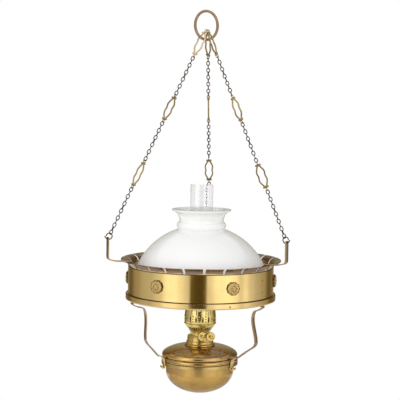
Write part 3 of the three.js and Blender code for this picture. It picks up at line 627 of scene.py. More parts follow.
def piece(name, shell, finish, body, nodes=(), at=(0, 0, 0), sharp=38, cutters=()):
    """Makes the mesh, cuts it, sets it on its body and lets it stand for its CAD nodes."""
    made = added(name, solid_mesh(name, shell))
    made.location = Vector(at) * MM
    for cutter in cutters:
        cut_with(made, cutter)
    made.data.materials.clear()
    made.data.materials.append(FINISHES[finish])
    made.data.shade_smooth()
    made.data.set_sharp_from_angle(angle=math.radians(sharp))
    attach(made, body)
    if nodes:
        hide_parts(*nodes)
    return made


# Suspension ring
def ring_point(angle):
    """A point on the middle of the ring's wire, at that angle from its lowest point."""
    along = Vector((math.cos(RING_TURN), math.sin(RING_TURN), 0))
    drop = Vector((0, 0, ring["radius"] * math.cos(angle)))
    return RING_MIDDLE + along * (ring["radius"] * math.sin(angle)) - drop


ring_wire = Shell().wire([ring_point(t) for t in around(96)], ring["wire"] / 2, 20, True)
piece("ring", ring_wire, "ring", "hanger", ["suspension_ring"])


# Chains
def knuckle_radius(share):
    """The radius of a bar link's knuckle, from one tip to the other."""
    return knuckle["tip"] + knuckle["swell"] * math.sin(math.pi * min(max(share, 0.02), 0.98)) ** 0.6


def bar_link_shell():
    """Two wavy rails between knuckles, with an eye at each end, drawn upright in the XZ plane."""
    half = bar_link["bar_spacing"] / 2
    reach = (bar_link["width"] - bar_link["rail"]) / 2
    eye = (bar_eye["diameter"] - bar_eye["wire"]) / 2
    shell = Shell()
    wave = [(0.18, 1.0), (0.42, 0.84), (0.86, 0.54), (1.0, 0.32), (0.86, 0.0)]
    wave += [(x, -z) for x, z in wave[-2::-1]]
    for side in (-1, 1):
        path = [(side * reach * x, 0, half * z) for x, z in wave]
        shell.wire(through(path, 7), bar_link["rail"] / 2, 10, flat=bar_link["thickness"] / bar_link["rail"])
    for end in (-1, 1):
        places = (-knuckle["reach"], -knuckle["shoulder"], 0, knuckle["shoulder"], knuckle["reach"])
        shell.wire(through([(x, 0, end * half) for x in places], 6), knuckle_radius, 10)
        middle = end * (half + bar_eye["reach"])
        loop = [(0, eye * math.cos(t), middle + eye * math.sin(t)) for t in around(24)]
        shell.wire(loop, bar_eye["wire"] / 2, 8, True)
    return shell


def wire_link_path():
    """The middle line of a chain link in the XZ plane."""
    radius = (wire_link["width"] - wire_link["wire"]) / 2
    straight = (wire_link["length"] - wire_link["wire"]) / 2 - radius
    upper = oval(radius, radius, 0, 180, 10, (0, straight))
    return [(x, 0, z) for x, z in upper] + [(-x, 0, -z) for x, z in upper]


def run_shell(count, top, first, place):
    """A run of wire links down from a depth on the chain, each a quarter turn on from the last."""
    shell = Shell()
    for k in range(count):
        depth = top + wire_link["length"] / 2 + k * wire_link["pitch"]
        spin = first + 90 * k + wire_link["drift"] * math.sin(k)
        shell.wire(wire_link_path(), wire_link["wire"] / 2, 7, True, place @ shift(0, 0, -depth) @ turn(spin))
    return shell


def hook_shell():
    """A hook whose loop ends in a short tail, drawn in the XZ plane."""
    radius = (hook["diameter"] - hook["wire"]) / 2
    loop = [(x, 0, z) for x, z in oval(radius, radius, 200, -106, 18)]
    x, _, z = loop[-1]
    bend = (x - hook["tail"] * 0.45, 0, z - 0.2)
    tail = (x - hook["tail"], 0, z + hook["tail"] / 3)
    return Shell().wire(through(loop + [bend, tail], 3), hook["wire"] / 2, 12)


def chain_place(side):
    """The chain's own directions: Z up the chain from its arm's hole, starting on the ring's wire."""
    top = ring_point(chain_seats[side] / ring["radius"])
    hole = HOLES + outward(SIDES[side]) * arm["top_radius"]
    up = (top - hole).normalized()
    across = Vector((0, 1, 0)).cross(up).normalized()
    return Matrix.Translation(top) @ Matrix((across, up.cross(across), up)).transposed().to_4x4()


def hook_turn(side, place):
    """The turn about the chain that sets the hook square to its arm."""
    inward = -outward(SIDES[side])
    return math.degrees(math.atan2(inward.dot(place.col[1].xyz), inward.dot(place.col[0].xyz)))


link = bar_link_shell()
for side in SIDES:
    place = chain_place(side)
    for i, (facing, count) in enumerate(zip(facings[side], run_counts)):
        depth = chain["first_link"] + chain["spacing"] * i
        node = f"chain_{side}_bar_link_{i + 1}"
        cast = Shell().join(link, place @ shift(0, 0, -depth) @ turn(facing))
        # The left chain's first bar link takes the paler copy, a painted highlight.
        tone = "lit_link" if side == "left" and i == 0 else "bar_link"
        piece(node + "_cast", cast, tone, "lamp", [node])
        node = f"chain_{side}_run_{i + 1}"
        run = run_shell(count, depth + chain["run_below"], 90 * round(facing / 90), place)
        piece(node + "_links", run, "wire", "lamp", [node])
    node = f"chain_{side}_hook"
    bent = Shell().join(hook_shell(), place @ shift(0, 0, -hook["middle"]) @ turn(hook_turn(side, place)))
    piece(node + "_wire", bent, "wire", "lamp", [node])


# Shade band: a wall whose top flares out into tabs
def band_shell():
    reach = band["rim_radius"] - band["radius"]
    wall = [(band["radius"], -band["wall"] * (1 - i / 8)) for i in range(8)]
    flare = oval(reach, band["rim_height"], 180, 90, 12, (band["rim_radius"], 0))
    return Shell().turned(sheet_outline(wall + flare, band["sheet"]), 216)


def slot_cutter():
    """Slots between the tabs, which widen outward."""
    cutter = Shell()
    past = 4
    near, far = band["radius"] * 0.95, band["rim_radius"] + past
    heights = (rim_slot["rise"], band["rim_height"] + past)
    ends = [(near, rim_slot["inner"] / 2), (far, rim_slot["outer"] / 2)]
    corners = [(r, way * half, z) for r, half in ends for way in (-1, 1) for z in heights]
    for i in range(rim_slot["count"]):
        cutter.add(corners, BOX_FACES, turn(360 * (i + 0.5) / rim_slot["count"]))
    return cutter


piece(
    "band_wall", band_shell(), "band", "lamp", ["shade_band"],
    at=on_axis(WALL_TOP), cutters=[slot_cutter()], sharp=50,
)


# Lower hoop with the ledge that carries the shade
def hoop_shell():
    """A skirt with a rolled lip, a gutter between the lip and the band, and the ledge inside."""
    outer, shelf = hoop["radius"], hoop["ledge_radius"]
    inner, under = outer - hoop["sheet"] - 0.6, LEDGE - hoop["sheet"]
    wall, gutter = band["radius"] + CLEARANCE, HOOP_TOP - hoop["gutter"]
    lip = [(wall, gutter), (outer - 2.7, gutter), (outer - 2.3, HOOP_TOP - 0.5), (outer - 1.6, HOOP_TOP)]
    lip += [(outer - 0.8, HOOP_TOP - 0.25), (outer - 0.2, HOOP_TOP - 1), (outer, HOOP_TOP - 2.4)]
    skirt = [(outer - 0.15, HOOP_TOP - 5), (outer, HOOP_BOTTOM + 2.2), (outer - 0.2, HOOP_BOTTOM + 0.8)]
    skirt += [(outer - 0.9, HOOP_BOTTOM), (inner + 0.1, HOOP_BOTTOM), (inner, under - 6), (inner, under)]
    ledge = [(shelf, under), (shelf, LEDGE), (wall, LEDGE)]
    return Shell().turned([(r, z - LEDGE) for r, z in lip + skirt + ledge], 216)


def arm_notches():
    """Room in the ledge for the three arms."""
    cutter = Shell()
    deep = 2 * (ARM_WALL - hoop["ledge_radius"])
    for angle in SIDES.values():
        here = turn(angle) @ shift(0, deep / 2 - ARM_WALL - CLEARANCE, 0)
        cutter.join(block(arm["width"] + 2 * CLEARANCE, arm["thickness"] + deep, 2 * hoop["height"], here))
    return cutter


piece(
    "hoop_lip", hoop_shell(), "lip", "lamp", ["lower_hoop"],
    at=on_axis(LEDGE), cutters=[arm_notches()], sharp=50,
)


# Strip arms, each bent a little its own way below the lip
def arm_paths(side):
    """The strip's path, and its foot's, in radius from the axis and height."""
    top, rim, wall = arm["top_radius"], band["rim_radius"], ARM_WALL
    near, far = waists[side], bulges[side]
    strip, ease = arm["thickness"], arm["bend"]
    hole, bend = HOLES.z, HOLES.z - arm["rise"]
    rim_top = BAND_TOP + band["sheet"] + CLEARANCE + strip / 2
    waist, bulge = HOOP_BOTTOM - arm_below["waist_drop"], HOOP_BOTTOM - arm_below["bulge_drop"]
    foot_top = CRADLE_TOP + foot["rise"]
    inside = cradle["radius"] + CLEARANCE + strip / 2
    path = [
        (top, hole + arm["eye_margin"]),
        (top, (hole + bend) / 2),
        (top, bend + ease),
        (top - ease / 5, bend + ease / 4),
        (top - ease, bend - strip / 2),
        ((top + rim) / 2, (bend + rim_top) / 2 - strip / 2),
        (rim, rim_top + strip / 4),
        ((rim + wall) / 2, rim_top - strip / 2),
        (wall + strip, (rim_top + WALL_TOP) / 2),
        (wall, WALL_TOP),
        (wall, WALL_TOP - band["wall"] / 3),
        (wall, HOOP_BOTTOM + ease),
        (wall + strip * 0.7, HOOP_BOTTOM),
        (wall + strip * 2.6, HOOP_BOTTOM - strip * 1.4),
        (near + (wall - near) * 0.78, HOOP_BOTTOM - arm_below["waist_drop"] * 0.36),
        (near + (wall - near) * 0.2, HOOP_BOTTOM - arm_below["waist_drop"] * 0.54),
        (near, waist - ease),
        (far, bulge + ease),
        (far - strip, bulge - ease),
        ((far + inside) / 2 + ease, (bulge + foot_top) / 2 - strip),
        (inside + ease * 2, foot_top),
    ]
    middle = (inside + foot["scroll"], CRADLE_TOP - cradle["height"] - foot["scroll"] / 2)
    claw = [
        (inside + ease * 2, foot_top),
        (inside + ease, foot_top - strip),
        (inside + strip / 2, foot_top - ease),
        (inside, CRADLE_TOP),
        (inside, CRADLE_TOP - cradle["height"] / 2),
        *oval(foot["scroll"], foot["scroll"], 180, 400, 14, middle),
    ]
    return [[(r, z - HOLES.z) for r, z in points] for points in (path, claw)]


for side, angle in SIDES.items():
    to_side = turn(angle - 90)
    path, claw = arm_paths(side)
    strip = Shell().strip(through(path, 6), arm["width"], arm["thickness"], to_side)
    strap = Shell().strip(through(claw, 4), foot["strap"], arm["thickness"], to_side)
    eye = rod(arm["eye"] / 2, arm["thickness"] + 8, to_side @ shift(arm["top_radius"], 0, 0) @ turn(90, "Y"))
    piece(
        f"arm_{side}_strip", strip, "arm", "lamp", [f"arm_{side}"],
        at=on_axis(HOLES.z), cutters=[eye], sharp=45,
    )
    piece(f"arm_{side}_foot", strap, "foot", "lamp", at=on_axis(HOLES.z), sharp=45)


# Cradle ring
def cradle_shell():
    outer, inner, low = cradle["radius"], cradle["radius"] - cradle["width"], -cradle["height"]
    outside = [(outer - 0.5, 0), (outer, -0.5), (outer, low + 0.5), (outer - 0.5, low)]
    inside = [(inner + 0.4, low), (inner, low + 0.4), (inner, -0.4), (inner + 0.4, 0)]
    return Shell().turned(outside + inside, 120)


piece("cradle_hoop", cradle_shell(), "cradle", "lamp", ["cradle_ring"], at=on_axis(CRADLE_TOP))


# Rosettes: stamped flowers in low relief
def hump(place, middle, width):
    """A smooth hump of height 1."""
    return math.exp(-((place - middle) / width) ** 2)


def rosette_height(out, t):
    """The relief at a share of the radius and an angle: ten petals round five leaves, and a boss."""
    dome = rosette["edge"] + (rosette["height"] - rosette["edge"]) * 0.75 * math.sqrt(max(0, 1 - out**2))
    petals = 0.85 * math.cos(10 * t) * hump(out, 0.72, 0.14)
    leaves = 0.8 * math.cos(5 * t) * hump(out, 0.42, 0.12)
    grooves = 1.1 * hump(out, 0.9, 0.05) + 0.6 * hump(out, 0.57, 0.05) + 0.5 * hump(out, 0.25, 0.05)
    boss = 0.9 * hump(out, 0, 0.16)
    return min(dome + petals + leaves + boss - grooves, rosette["height"])


def rosette_shell():
    radius = rosette["diameter"] / 2
    across = 26
    rows = []
    for j in range(across + 1):
        row = []
        for t in around(96):
            edge = radius * (1 - 0.035 * (1 - math.cos(10 * t)))
            r = edge * (1 - j / across) + 0.02
            row.append((r * math.cos(t), r * math.sin(t), rosette_height(r / radius, t)))
        rows.append(row)
    back = [(x, y, 0) for x, y, _ in rows[0]]
    return Shell().rows([back] + rows, closed=False)


flower = rosette_shell()
rosette_middle = on_axis(WALL_TOP - band["wall"] * rosette["share"])
for i in range(rosette["count"]):
    angle = 360 * (i + 0.5) / rosette["count"]
    node = f"rosette_{i + 1}"
    shell = Shell().join(flower, turn(angle) @ turn(90, "X"))
    spot = rosette_middle + outward(angle) * (band["radius"] + CLEARANCE)
    piece(node + "_flower", shell, "rosette", "lamp", [node], at=spot, sharp=60)


# Opal shade
def shade_shell():
    """A dome, a round bead at its neck and a flared collar."""
    waist, high, half = shade_bead["waist"], shade_bead["height"], shade_bead["height"] / 2
    top, tall = shade["top"], shade["collar"]
    dome = oval(shade["base"], shade["dome"], 0, math.degrees(math.acos(shade["neck"] / shade["base"])), 40)
    neck = dome[-1][1]
    bead = oval(shade_bead["radius"] - waist, half, -75, 75, 10, (waist, neck + half + 0.3))
    flare = through([
        (waist + 0.4, neck + high + 0.6),
        (waist, neck + high + 3),
        (waist + 0.6, neck + tall * 0.52),
        ((waist + top) / 2 - shade["glass"], neck + tall * 0.78),
        (top - 0.8, neck + tall * 0.93),
        (top, neck + tall),
    ], 8)
    return Shell().turned(sheet_outline(dome + bead + flare, shade["glass"]), 144)


piece(
    "shade_glass", shade_shell(), "opal", "shade", ["shade"],
    at=on_axis(LEDGE + CLEARANCE), sharp=70,
)


# Oil font
def bowl_shell():
    """A round bowl whose brim is rolled out into the lower half of the bead."""
    wall, bead, sheet = font["bowl"], font["bead"], font["shell"]
    deep, middle = font["depth"] - font["wall"], (0, -font["wall"])
    outside = oval(wall, deep, -90, 0, 36, middle)
    outside += [(wall + 0.3, -9), (wall + 0.4, -2.4), (wall + 1, -0.7), (wall + 2.4, 0)]
    roll = [(bead - 1.6, 0), (bead - 0.5, 0.5), (bead, 1.6), (bead, SEAM)]
    inside = [(bead - 2.2, SEAM), (wall - sheet, sheet)]
    inside += oval(wall - sheet, deep - sheet, 0, -90, 20, middle)
    return Shell().turned(outside + roll + inside, 120)


def font_top_shell():
    """The bead's upper half, a groove above it and a crown that rises to the collar."""
    base, bead, high, widest = SEAM + CLEARANCE, font["bead_height"], font["top"], font["bead"]
    roll = [(widest, base), (widest - 0.1, base + 1.5), (widest - 0.7, base + 2.9)]
    roll += [(widest - 1.9, base + 3.8), (widest - 2.2, base + 4.5), (widest - 1.9, base + 5.2)]
    roll += [(widest - 1.1, base + 6.1)]
    crown = through([
        (widest - 0.8, bead + high * 0.12),
        (widest - 1.1, bead + high * 0.23),
        (widest * 0.95, bead + high * 0.42),
        (widest * 0.86, bead + high * 0.63),
        (widest * 0.72, bead + high * 0.84),
        (widest * 0.56, bead + high * 0.96),
        (collar["flange"], bead + high),
        (font["mouth"], bead + high),
    ], 6)
    inside = [
        (font["mouth"], bead + high - font["shell"]),
        (widest * 0.6, bead + high * 0.88 - font["shell"]),
        (widest * 0.91, bead + high * 0.42 - font["shell"]),
        (widest - 3 * font["shell"], bead),
        (widest - 3 * font["shell"], base),
    ]
    return Shell().turned(roll + crown + inside, 120)


def collar_shell():
    """A flange, a rounded step and the threaded wall that the burner screws into."""
    low, high = collar["flange_height"], collar["flange_height"] + collar["height"]
    flange, step, wall, sheet = collar["flange"], collar["step"], collar["radius"], collar["wall"]
    outside = [(font["mouth"], 0), (flange - 0.4, 0), (flange, 0.5), (flange, low * 0.3)]
    outside += [(flange - 0.7, low * 0.4), (step + 0.5, low * 0.46), (step, low * 0.56), (step, low * 0.86)]
    outside += [(step - 0.4, low * 0.97), (wall + 0.3, low), (wall, low + 0.5), (wall, high - 1.6)]
    outside += [(wall - 0.3, high - 1.2), (wall, high - 0.8), (wall, high - 0.3), (wall - 0.3, high)]
    inside = [(wall - sheet, high), (wall - sheet, sheet), (font["mouth"], sheet)]
    return Shell().turned(outside + inside, 96)


font_place, collar_place, burner_place = on_axis(FONT_ZERO), on_axis(COLLAR_BASE), on_axis(COLLAR_TOP)
piece("font_bowl_shell", bowl_shell(), "font", "font", ["font_bowl"], at=font_place)
piece("font_top_shell", font_top_shell(), "font_top", "font", ["font_top"], at=font_place)
piece("font_collar_thread", collar_shell(), "collar", "font", ["font_collar"], at=collar_place)


# Chimney
def chimney_shell():
    """A straight foot, a bulge round the flame and a straight tube."""
    base, bulge, tube = chimney["base"], chimney["bulge"], chimney["tube"]
    low, high = chimney_heights["straight"], chimney["height"]
    swell = through([
        (base, chimney_heights["base"]),
        (bulge, chimney_heights["bulge"]),
        ((bulge + tube) / 2, chimney_heights["shoulder"]),
        (tube, chimney_heights["tube"]),
    ], 10)
    straight = [(tube, low + (high - low) * k / 10) for k in range(11)]
    return Shell().turned(sheet_outline([(base, 0)] + swell + straight, chimney["glass"]), 96)


piece(
    "chimney_glass", chimney_shell(), "clear", "chimney", ["chimney"],
    at=on_axis(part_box("chimney")[0].z / MM), sharp=60,
)


# Burner, drawn from the top of the font's collar
def burner_base_shell():
    """A skirt in the collar, a shoulder on it, a narrow neck and a cone that opens upward."""
    skirt, cover = collar["radius"] - collar["wall"] - CLEARANCE, collar["radius"] - 0.3
    neck, wide, sheet = burner["neck"], burner["cone_radius"], burner["sheet"]
    shoulder = [(skirt, -burner["skirt"]), (skirt, CLEARANCE), (cover, CLEARANCE), (cover, SHOULDER - 0.2)]
    shoulder += [(cover - 0.3, SHOULDER), (neck + 0.8, SHOULDER)]
    bowl = through([
        (neck, SHOULDER + 0.6),
        (neck + 0.2, SHOULDER + 3),
        (neck + 1.2, NECK_TOP),
        (wide * 0.81, NECK_TOP + burner["cone"] * 0.42),
        (wide * 0.94, NECK_TOP + burner["cone"] * 0.68),
        (wide, CONE_TOP),
    ], 6)
    inside = [(r - sheet, z) for r, z in bowl[::-1]]
    inside += [(neck - sheet, CLEARANCE), (skirt - sheet, -sheet), (skirt - sheet, -burner["skirt"])]
    return Shell().turned(shoulder + bowl + inside, 108)


def air_slots():
    """Upright slots all round the cone."""
    cutter = Shell()
    wide, tall = burner["cone_radius"], air_slot["high"] - air_slot["low"]
    for i in range(air_slot["count"]):
        here = turn(360 * (i + 0.5) / air_slot["count"]) @ shift(wide, 0, air_slot["low"] + tall / 2)
        cutter.join(block(wide, air_slot["width"], tall, here))
    return cutter


def spindle_holes():
    """Holes in the neck for the two spindles."""
    cutter = Shell()
    for way in (-1, 1):
        spot = shift(way * spindle["spacing"] / 2, -burner["neck"], spindle["height"])
        here = turn(spindle["turn"]) @ spot @ turn(90, "X")
        cutter.join(rod(spindle["diameter"] / 2 + CLEARANCE, burner["neck"], here))
    return cutter


def gallery_shell():
    """A beaded floor ring and the wall that the border and the prongs are cut from."""
    wide, sheet = gallery["radius"], gallery["sheet"]
    low, high, top = BORDER_FOOT, BORDER_TOP, BORDER_TOP + gallery["prong"]
    bead = oval(gallery["bead"], sheet * 1.1, -90, 90, 8, (wide, FLOOR + sheet * 1.1))
    wall = through([
        (wide - 0.5, low + 0.6),
        (wide - 0.1, low + 5),
        (wide, low + 9),
        (wide - 0.3, high - 1),
        (wide - 0.9, high + gallery["prong"] * 0.45),
        (wide, top),
    ], 4)
    inside = [(r - sheet, z) for r, z in wall[::-1]]
    inside += [(wide - sheet, FLOOR + sheet), (gallery["floor"], FLOOR + sheet), (gallery["floor"], FLOOR)]
    return Shell().turned(bead + wall + inside, 112)


def gallery_openings():
    """An arch between two columns of small drops, all round, and the slits between the prongs."""
    cutter = Shell()
    wide, middle, through_wall = gallery["radius"], BORDER_FOOT + gallery["border"] / 2, 8
    for i in range(arch["count"]):
        here = turn(360 * i / arch["count"] + arch["start"])
        cutter.join(oval_bar(arch["width"], arch["height"], through_wall, here @ shift(wide, 0, middle)))
        beside = turn(360 * (i + 0.5) / arch["count"] + arch["start"])
        for drop in drops:
            spot = beside @ shift(wide, 0, middle + drop["rise"])
            cutter.join(oval_bar(drop["width"], drop["height"], through_wall, spot))
    for i in range(prong["count"]):
        here = turn(360 * (i + 0.5) / prong["count"]) @ shift(wide, 0, BORDER_TOP + gallery["prong"] / 2 + 2)
        cutter.join(block(through_wall, prong["slit"], gallery["prong"] + 4, here))
    return cutter


def gallery_arches():
    """Raised rims round the arches."""
    made = Shell()
    wide, middle = gallery["radius"] - 0.1, BORDER_FOOT + gallery["border"] / 2
    half, tall = arch["width"] / 2 + arch["margin"], arch["height"] / 2 + arch["head_margin"]
    for i in range(arch["count"]):
        start = math.radians(360 * i / arch["count"] + arch["start"])
        path = []
        for t in around(24):
            a = start + half * math.cos(t) / wide
            path.append((wide * math.cos(a), wide * math.sin(a), middle + tall * math.sin(t)))
        made.wire(path, arch["rim"], 6, True)
    return made


def deflector_shell():
    """The dome over the wick tubes."""
    foot_height = FLOOR + gallery["sheet"] + CLEARANCE
    radius, high, sheet = deflector["radius"], deflector["height"], deflector["sheet"]
    outer = oval(radius, high, 0, 90, 16, (0, foot_height))
    inner = oval(radius - sheet, high - sheet, 90, 0, 16, (0, foot_height))
    return Shell().turned(outer + inner, 64)


def flame_slot():
    """The opening in the dome over both wicks."""
    here = turn(spindle["turn"]) @ shift(0, 0, FLOOR + deflector["height"] + 1)
    return block(deflector["slot_width"], deflector["slot_length"], deflector["height"] * 2, here)


piece(
    "burner_bowl", burner_base_shell(), "cone", "burner", ["burner_base"],
    at=burner_place, cutters=[air_slots(), spindle_holes()],
)
piece(
    "gallery_wall", gallery_shell(), "gallery", "burner", ["burner_gallery"],
    at=burner_place, cutters=[gallery_openings()],
)
piece("gallery_arches", gallery_arches(), "burner", "burner", at=burner_place)
piece(
    "deflector_dome", deflector_shell(), "burner", "burner", ["flame_deflector"],
    at=burner_place, cutters=[flame_slot()],
)


# Spindles and thumb wheels
def spindle_shell(x, front):
    """A round shaft with its two feed wheels, drawn from the burner's middle."""
    height, back = spindle["height"], spindle["inner"]
    shaft = [(x, back - (back + front) * k / 6, height) for k in range(7)]
    made = Shell().wire(shaft, spindle["diameter"] / 2, 16)
    teeth = []
    for k, t in enumerate(around(32)):
        r = feed_wheel["diameter"] / 2 * (1 if k % 2 else 0.82)
        teeth.append((x + r * math.cos(t), height + r * math.sin(t)))
    for way in (-1, 1):
        middle, half = way * feed_wheel["offset"], feed_wheel["width"] / 2
        made.rows([[(a, middle + y, b) for a, b in teeth] for y in (-half, half)], closed=False)
    return made


def thumb_wheel_shell():
    """A knurled wheel with stepped rings on its face and a hollow hub, drawn along Z from its back."""
    rim, wide, hub = thumb_wheel["width"], thumb_wheel["diameter"] / 2, thumb_wheel["hub"] / 2
    tip = rim + thumb_wheel["hub_width"]
    bore = spindle["diameter"] / 2 + CLEARANCE
    face = [(bore, 0.6), (wide - 3, 0.6), (wide - 2, 0), (wide - 0.7, 0), (wide, 0.8), (wide, rim - 0.9)]
    face += [(wide - 0.7, rim), (wide - 1.7, rim), (wide - 2.1, rim - 0.6), (wide - 2.3, rim - 1.7)]
    face += [(wide - 3, rim - 1.7), (wide - 3.3, rim - 0.2), (wide - 4, rim - 0.1), (wide - 4.4, rim - 1.2)]
    face += [(wide - 4.9, rim - 1.2), (hub, rim + 0.4), (hub - 0.2, tip - 0.2), (hub - 0.6, tip)]
    face += [(bore + 0.5, tip), (bore, tip - 2)]
    rows = []
    for i, t in enumerate(around(120)):
        notch = thumb_wheel["knurl"] * (i % 4 > 1)
        cut = [(r - notch if r > wide - 0.2 else r, z) for r, z in face]
        rows.append([(r * math.cos(t), r * math.sin(t), z) for r, z in cut])
    return Shell().rows(rows)


to_spindles = turn(spindle["turn"])
for i, (way, front) in enumerate(((-1, spindle["back"]), (1, spindle["front"]))):
    x = way * spindle["spacing"] / 2
    wheel_back = thumb_wheel["width"] + thumb_wheel["hub_width"] - front
    wheel_place = to_spindles @ shift(x, wheel_back, spindle["height"]) @ turn(90, "X")
    piece(
        f"shaft_{i + 1}", Shell().join(spindle_shell(x, front), to_spindles), "burner", f"knob_{i + 1}",
        [f"spindle_{i + 1}"], at=burner_place,
    )
    piece(
        f"winder_{i + 1}", Shell().join(thumb_wheel_shell(), wheel_place), "burner", f"knob_{i + 1}",
        [f"thumb_wheel_{i + 1}"], at=burner_place, sharp=30,
    )


# CAD nodes that stay, with better materials
for node, finish_name in (("wick_tubes", "cone"), ("wick_1", "wick"), ("wick_2", "wick")):
    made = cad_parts[node]
    made.data.materials.clear()
    made.data.materials.append(FINISHES[finish_name])


# Rivets: through the band's wall into the arms, and between them in the lip
def rivet_shell():
    crown = oval(rivet["radius"], rivet["proud"], 0, 90, 5)[:-1]
    foot_ring = [(0.01, -rivet["root"]), (rivet["radius"], -rivet["root"])]
    return Shell().turned(foot_ring + crown + [(0.01, rivet["proud"])], 16)


def rivet_places():
    """Angle, radius and height of each rivet."""
    for angle in SIDES.values():
        for share in wall_rivets["shares"]:
            yield angle, band["radius"] - rivet["sunk"], WALL_TOP - band["wall"] * share
    for angle in lip_rivets["angles"]:
        yield angle, hoop["radius"] - 2 * rivet["sunk"], HOOP_TOP - hoop["height"] * lip_rivets["share"]


rivet_head = rivet_shell()
rivets = Shell()
for angle, radius, height in rivet_places():
    spot = outward(angle) * radius + Vector((0, 0, height - HOLES.z))
    rivets.join(rivet_head, Matrix.Translation(spot) @ turn(angle) @ turn(90, "X"))
piece("band_rivets", rivets, "arm", "lamp", at=on_axis(HOLES.z))


# Studio, in metres and degrees. Azimuths are measured from the front, to the right.
WORLD_LIGHT = 0.55
PANEL_LIGHT = 1.5
LOW_WALL = 0.9
DIM_TONE = (1.18, 0.84, 0.2)
walls = dict(radius=2.9, low=-1.85, high=1.6, dado=(-1.5, -1.2))
floor_disc = dict(radius=3.5, height=-1.9)
softboxes = (
    dict(name="left_softbox", azimuth=-52, width=2.6, power=53),
    dict(name="right_softbox", azimuth=52, width=3.2, power=44),
)
softbox_stand = dict(elevation=12, distance=3.0, height=3.0, aim=-0.4)
view = dict(
    azimuth=5, elevation=4.35, distance=2.301, target=-0.3295, aside=-0.0032, roll=0.775,
    sensor=36, lens=117, clip=(0.05, 50),
)
# Brightness of the walls against the angle from the camera, to the right of it positive
PANELS = [
    (-180, 0.35), (-140, 0.14), (-118, 0.38), (-98, 0.54), (-84, 0.58), (-66, 0.85), (-50, 1.4),
    (-40, 1.42), (-31, 1.15), (-19, 0.85), (-14, 0.13), (-6, 0.085), (2, 0.075), (7, 0.16), (11, 0.9),
    (28, 1.38), (46, 1.42), (56, 1.2), (64, 0.9), (73, 1.15), (84, 0.78), (98, 0.56), (114, 0.42),
    (132, 0.14), (180, 0.35),
]


def towards(azimuth, elevation):
    """The direction of a place that far round from the front and that far up."""
    a, e = math.radians(azimuth), math.radians(elevation)
    return Vector((math.sin(a) * math.cos(e), -math.cos(a) * math.cos(e), math.sin(e)))


def aim(made, away, roll=0):
    """Turns a light or camera to look back along a direction."""
    made.rotation_mode = "QUATERNION"
    made.rotation_quaternion = (-away).to_track_quat("-Z", "Y") @ Quaternion((0, 0, 1), math.radians(roll))


def studio_world():
    """White where the camera sees it, straight, in gloss or through glass, and dimmer as light."""
    world = bpy.data.worlds.new("studio")
    bpy.context.scene.world = world
    sky = Finish("studio", world)
    seen = sky.node("ShaderNodeLightPath", output="Is Camera Ray")
    for ray in ("Is Glossy Ray", "Is Transmission Ray"):
        other = sky.node("ShaderNodeLightPath", output=ray)
        seen = sky.node("ShaderNodeMath", dict(operation="MAXIMUM"), {0: seen, 1: other})
    strength = seen * (1 - WORLD_LIGHT) + WORLD_LIGHT
    light = sky.node("ShaderNodeBackground", None, dict(Color=(1, 1, 1), Strength=strength))
    sky.node("ShaderNodeOutputWorld", None, dict(Surface=light))


def softbox(name, azimuth, width, power):
    """A flat light that faces the lamp's middle."""
    data = bpy.data.lights.new(name, "AREA")
    data.shape, data.size, data.size_y, data.energy = "RECTANGLE", width, softbox_stand["height"], power
    made = added(name, data)
    away = towards(azimuth, softbox_stand["elevation"])
    made.location = on_axis(0) * MM + Vector((0, 0, softbox_stand["aim"])) + away * softbox_stand["distance"]
    aim(made, away)
    made.visible_camera = False
    made.visible_glossy = False


def panel_colour(level):
    """A panel's colour: white where it is bright, and browner the dimmer it is."""
    white = min(1.0, level / 0.6)
    return tuple(level / PANEL_LIGHT * (part * (1 - white) + white) for part in DIM_TONE)


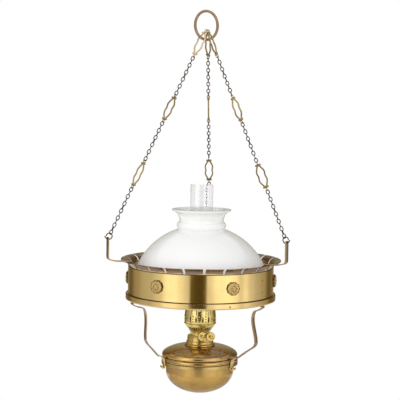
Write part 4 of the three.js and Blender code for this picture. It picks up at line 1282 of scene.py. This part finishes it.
def studio_walls():
    """The walls round the lamp, which show only in gloss: lit panels with dim gaps between them."""
    count = 96
    spots = [(walls["radius"] * math.cos(t), walls["radius"] * math.sin(t)) for t in around(count)]
    corners = [(x, y, z) for z in (walls["low"], walls["high"]) for x, y in spots]
    faces = [(i, (i + 1) % count, count + (i + 1) % count, count + i) for i in range(count)]
    mesh = bpy.data.meshes.new("studio_walls")
    mesh.from_pydata(corners, [], faces)
    made = added("studio_walls", mesh)
    made.location = on_axis(0) * MM
    made.rotation_euler = (0, 0, math.radians(view["azimuth"]))
    for unseen in ("camera", "diffuse", "transmission", "shadow"):
        setattr(made, "visible_" + unseen, False)
    paint = Finish("studio_walls")
    place = paint.place()
    east, front = paint.along(place, "X"), 0 - paint.along(place, "Y")
    angle = paint.node("ShaderNodeMath", dict(operation="ARCTAN2"), {0: east, 1: front})
    stops = [(0.5 + degrees / 360, panel_colour(level)) for degrees, level in PANELS]
    ramp = paint.node("ShaderNodeValToRGB", dict(stops=stops), dict(Fac=angle / (2 * math.pi) + 0.5))
    height = paint.between(paint.along(place, "Z"), *walls["dado"])
    mesh.materials.append(paint.surface(
        Base_Color=(0, 0, 0),
        Roughness=1.0,
        Specular_IOR_Level=0.0,
        Emission_Color=paint.mix(height, (LOW_WALL / PANEL_LIGHT,) * 3, ramp),
        Emission_Strength=PANEL_LIGHT,
    ))


def floor():
    mesh = bpy.data.meshes.new("floor")
    spots = [(floor_disc["radius"] * math.cos(t), floor_disc["radius"] * math.sin(t), 0) for t in around(64)]
    mesh.from_pydata(spots, [], [tuple(range(len(spots)))])
    made = added("floor", mesh)
    made.location = (AXIS.x * MM, AXIS.y * MM, floor_disc["height"])
    finish = Finish("pale_floor")
    grain = finish.between(finish.noise(finish.place(), 3, 4), 0.3, 0.7)
    colour = finish.mix(grain, (0.86, 0.86, 0.85), (0.89, 0.89, 0.88))
    mesh.materials.append(finish.surface(Base_Color=colour, Roughness=0.8))


def camera():
    data = bpy.data.cameras.new("camera")
    data.sensor_width, data.lens = view["sensor"], view["lens"]
    data.clip_start, data.clip_end = view["clip"]
    made = added("camera", data)
    back = towards(view["azimuth"], view["elevation"])
    aside = outward(view["azimuth"] + 90) * view["aside"]
    target = on_axis(0) * MM + Vector((0, 0, view["target"]))
    made.location = target + back * view["distance"] + aside
    aim(made, back, view["roll"])
    bpy.context.scene.camera = made


studio_world()
for box in softboxes:
    softbox(**box)
studio_walls()
floor()
camera()
bpy.context.scene.view_settings.view_transform = "Standard"
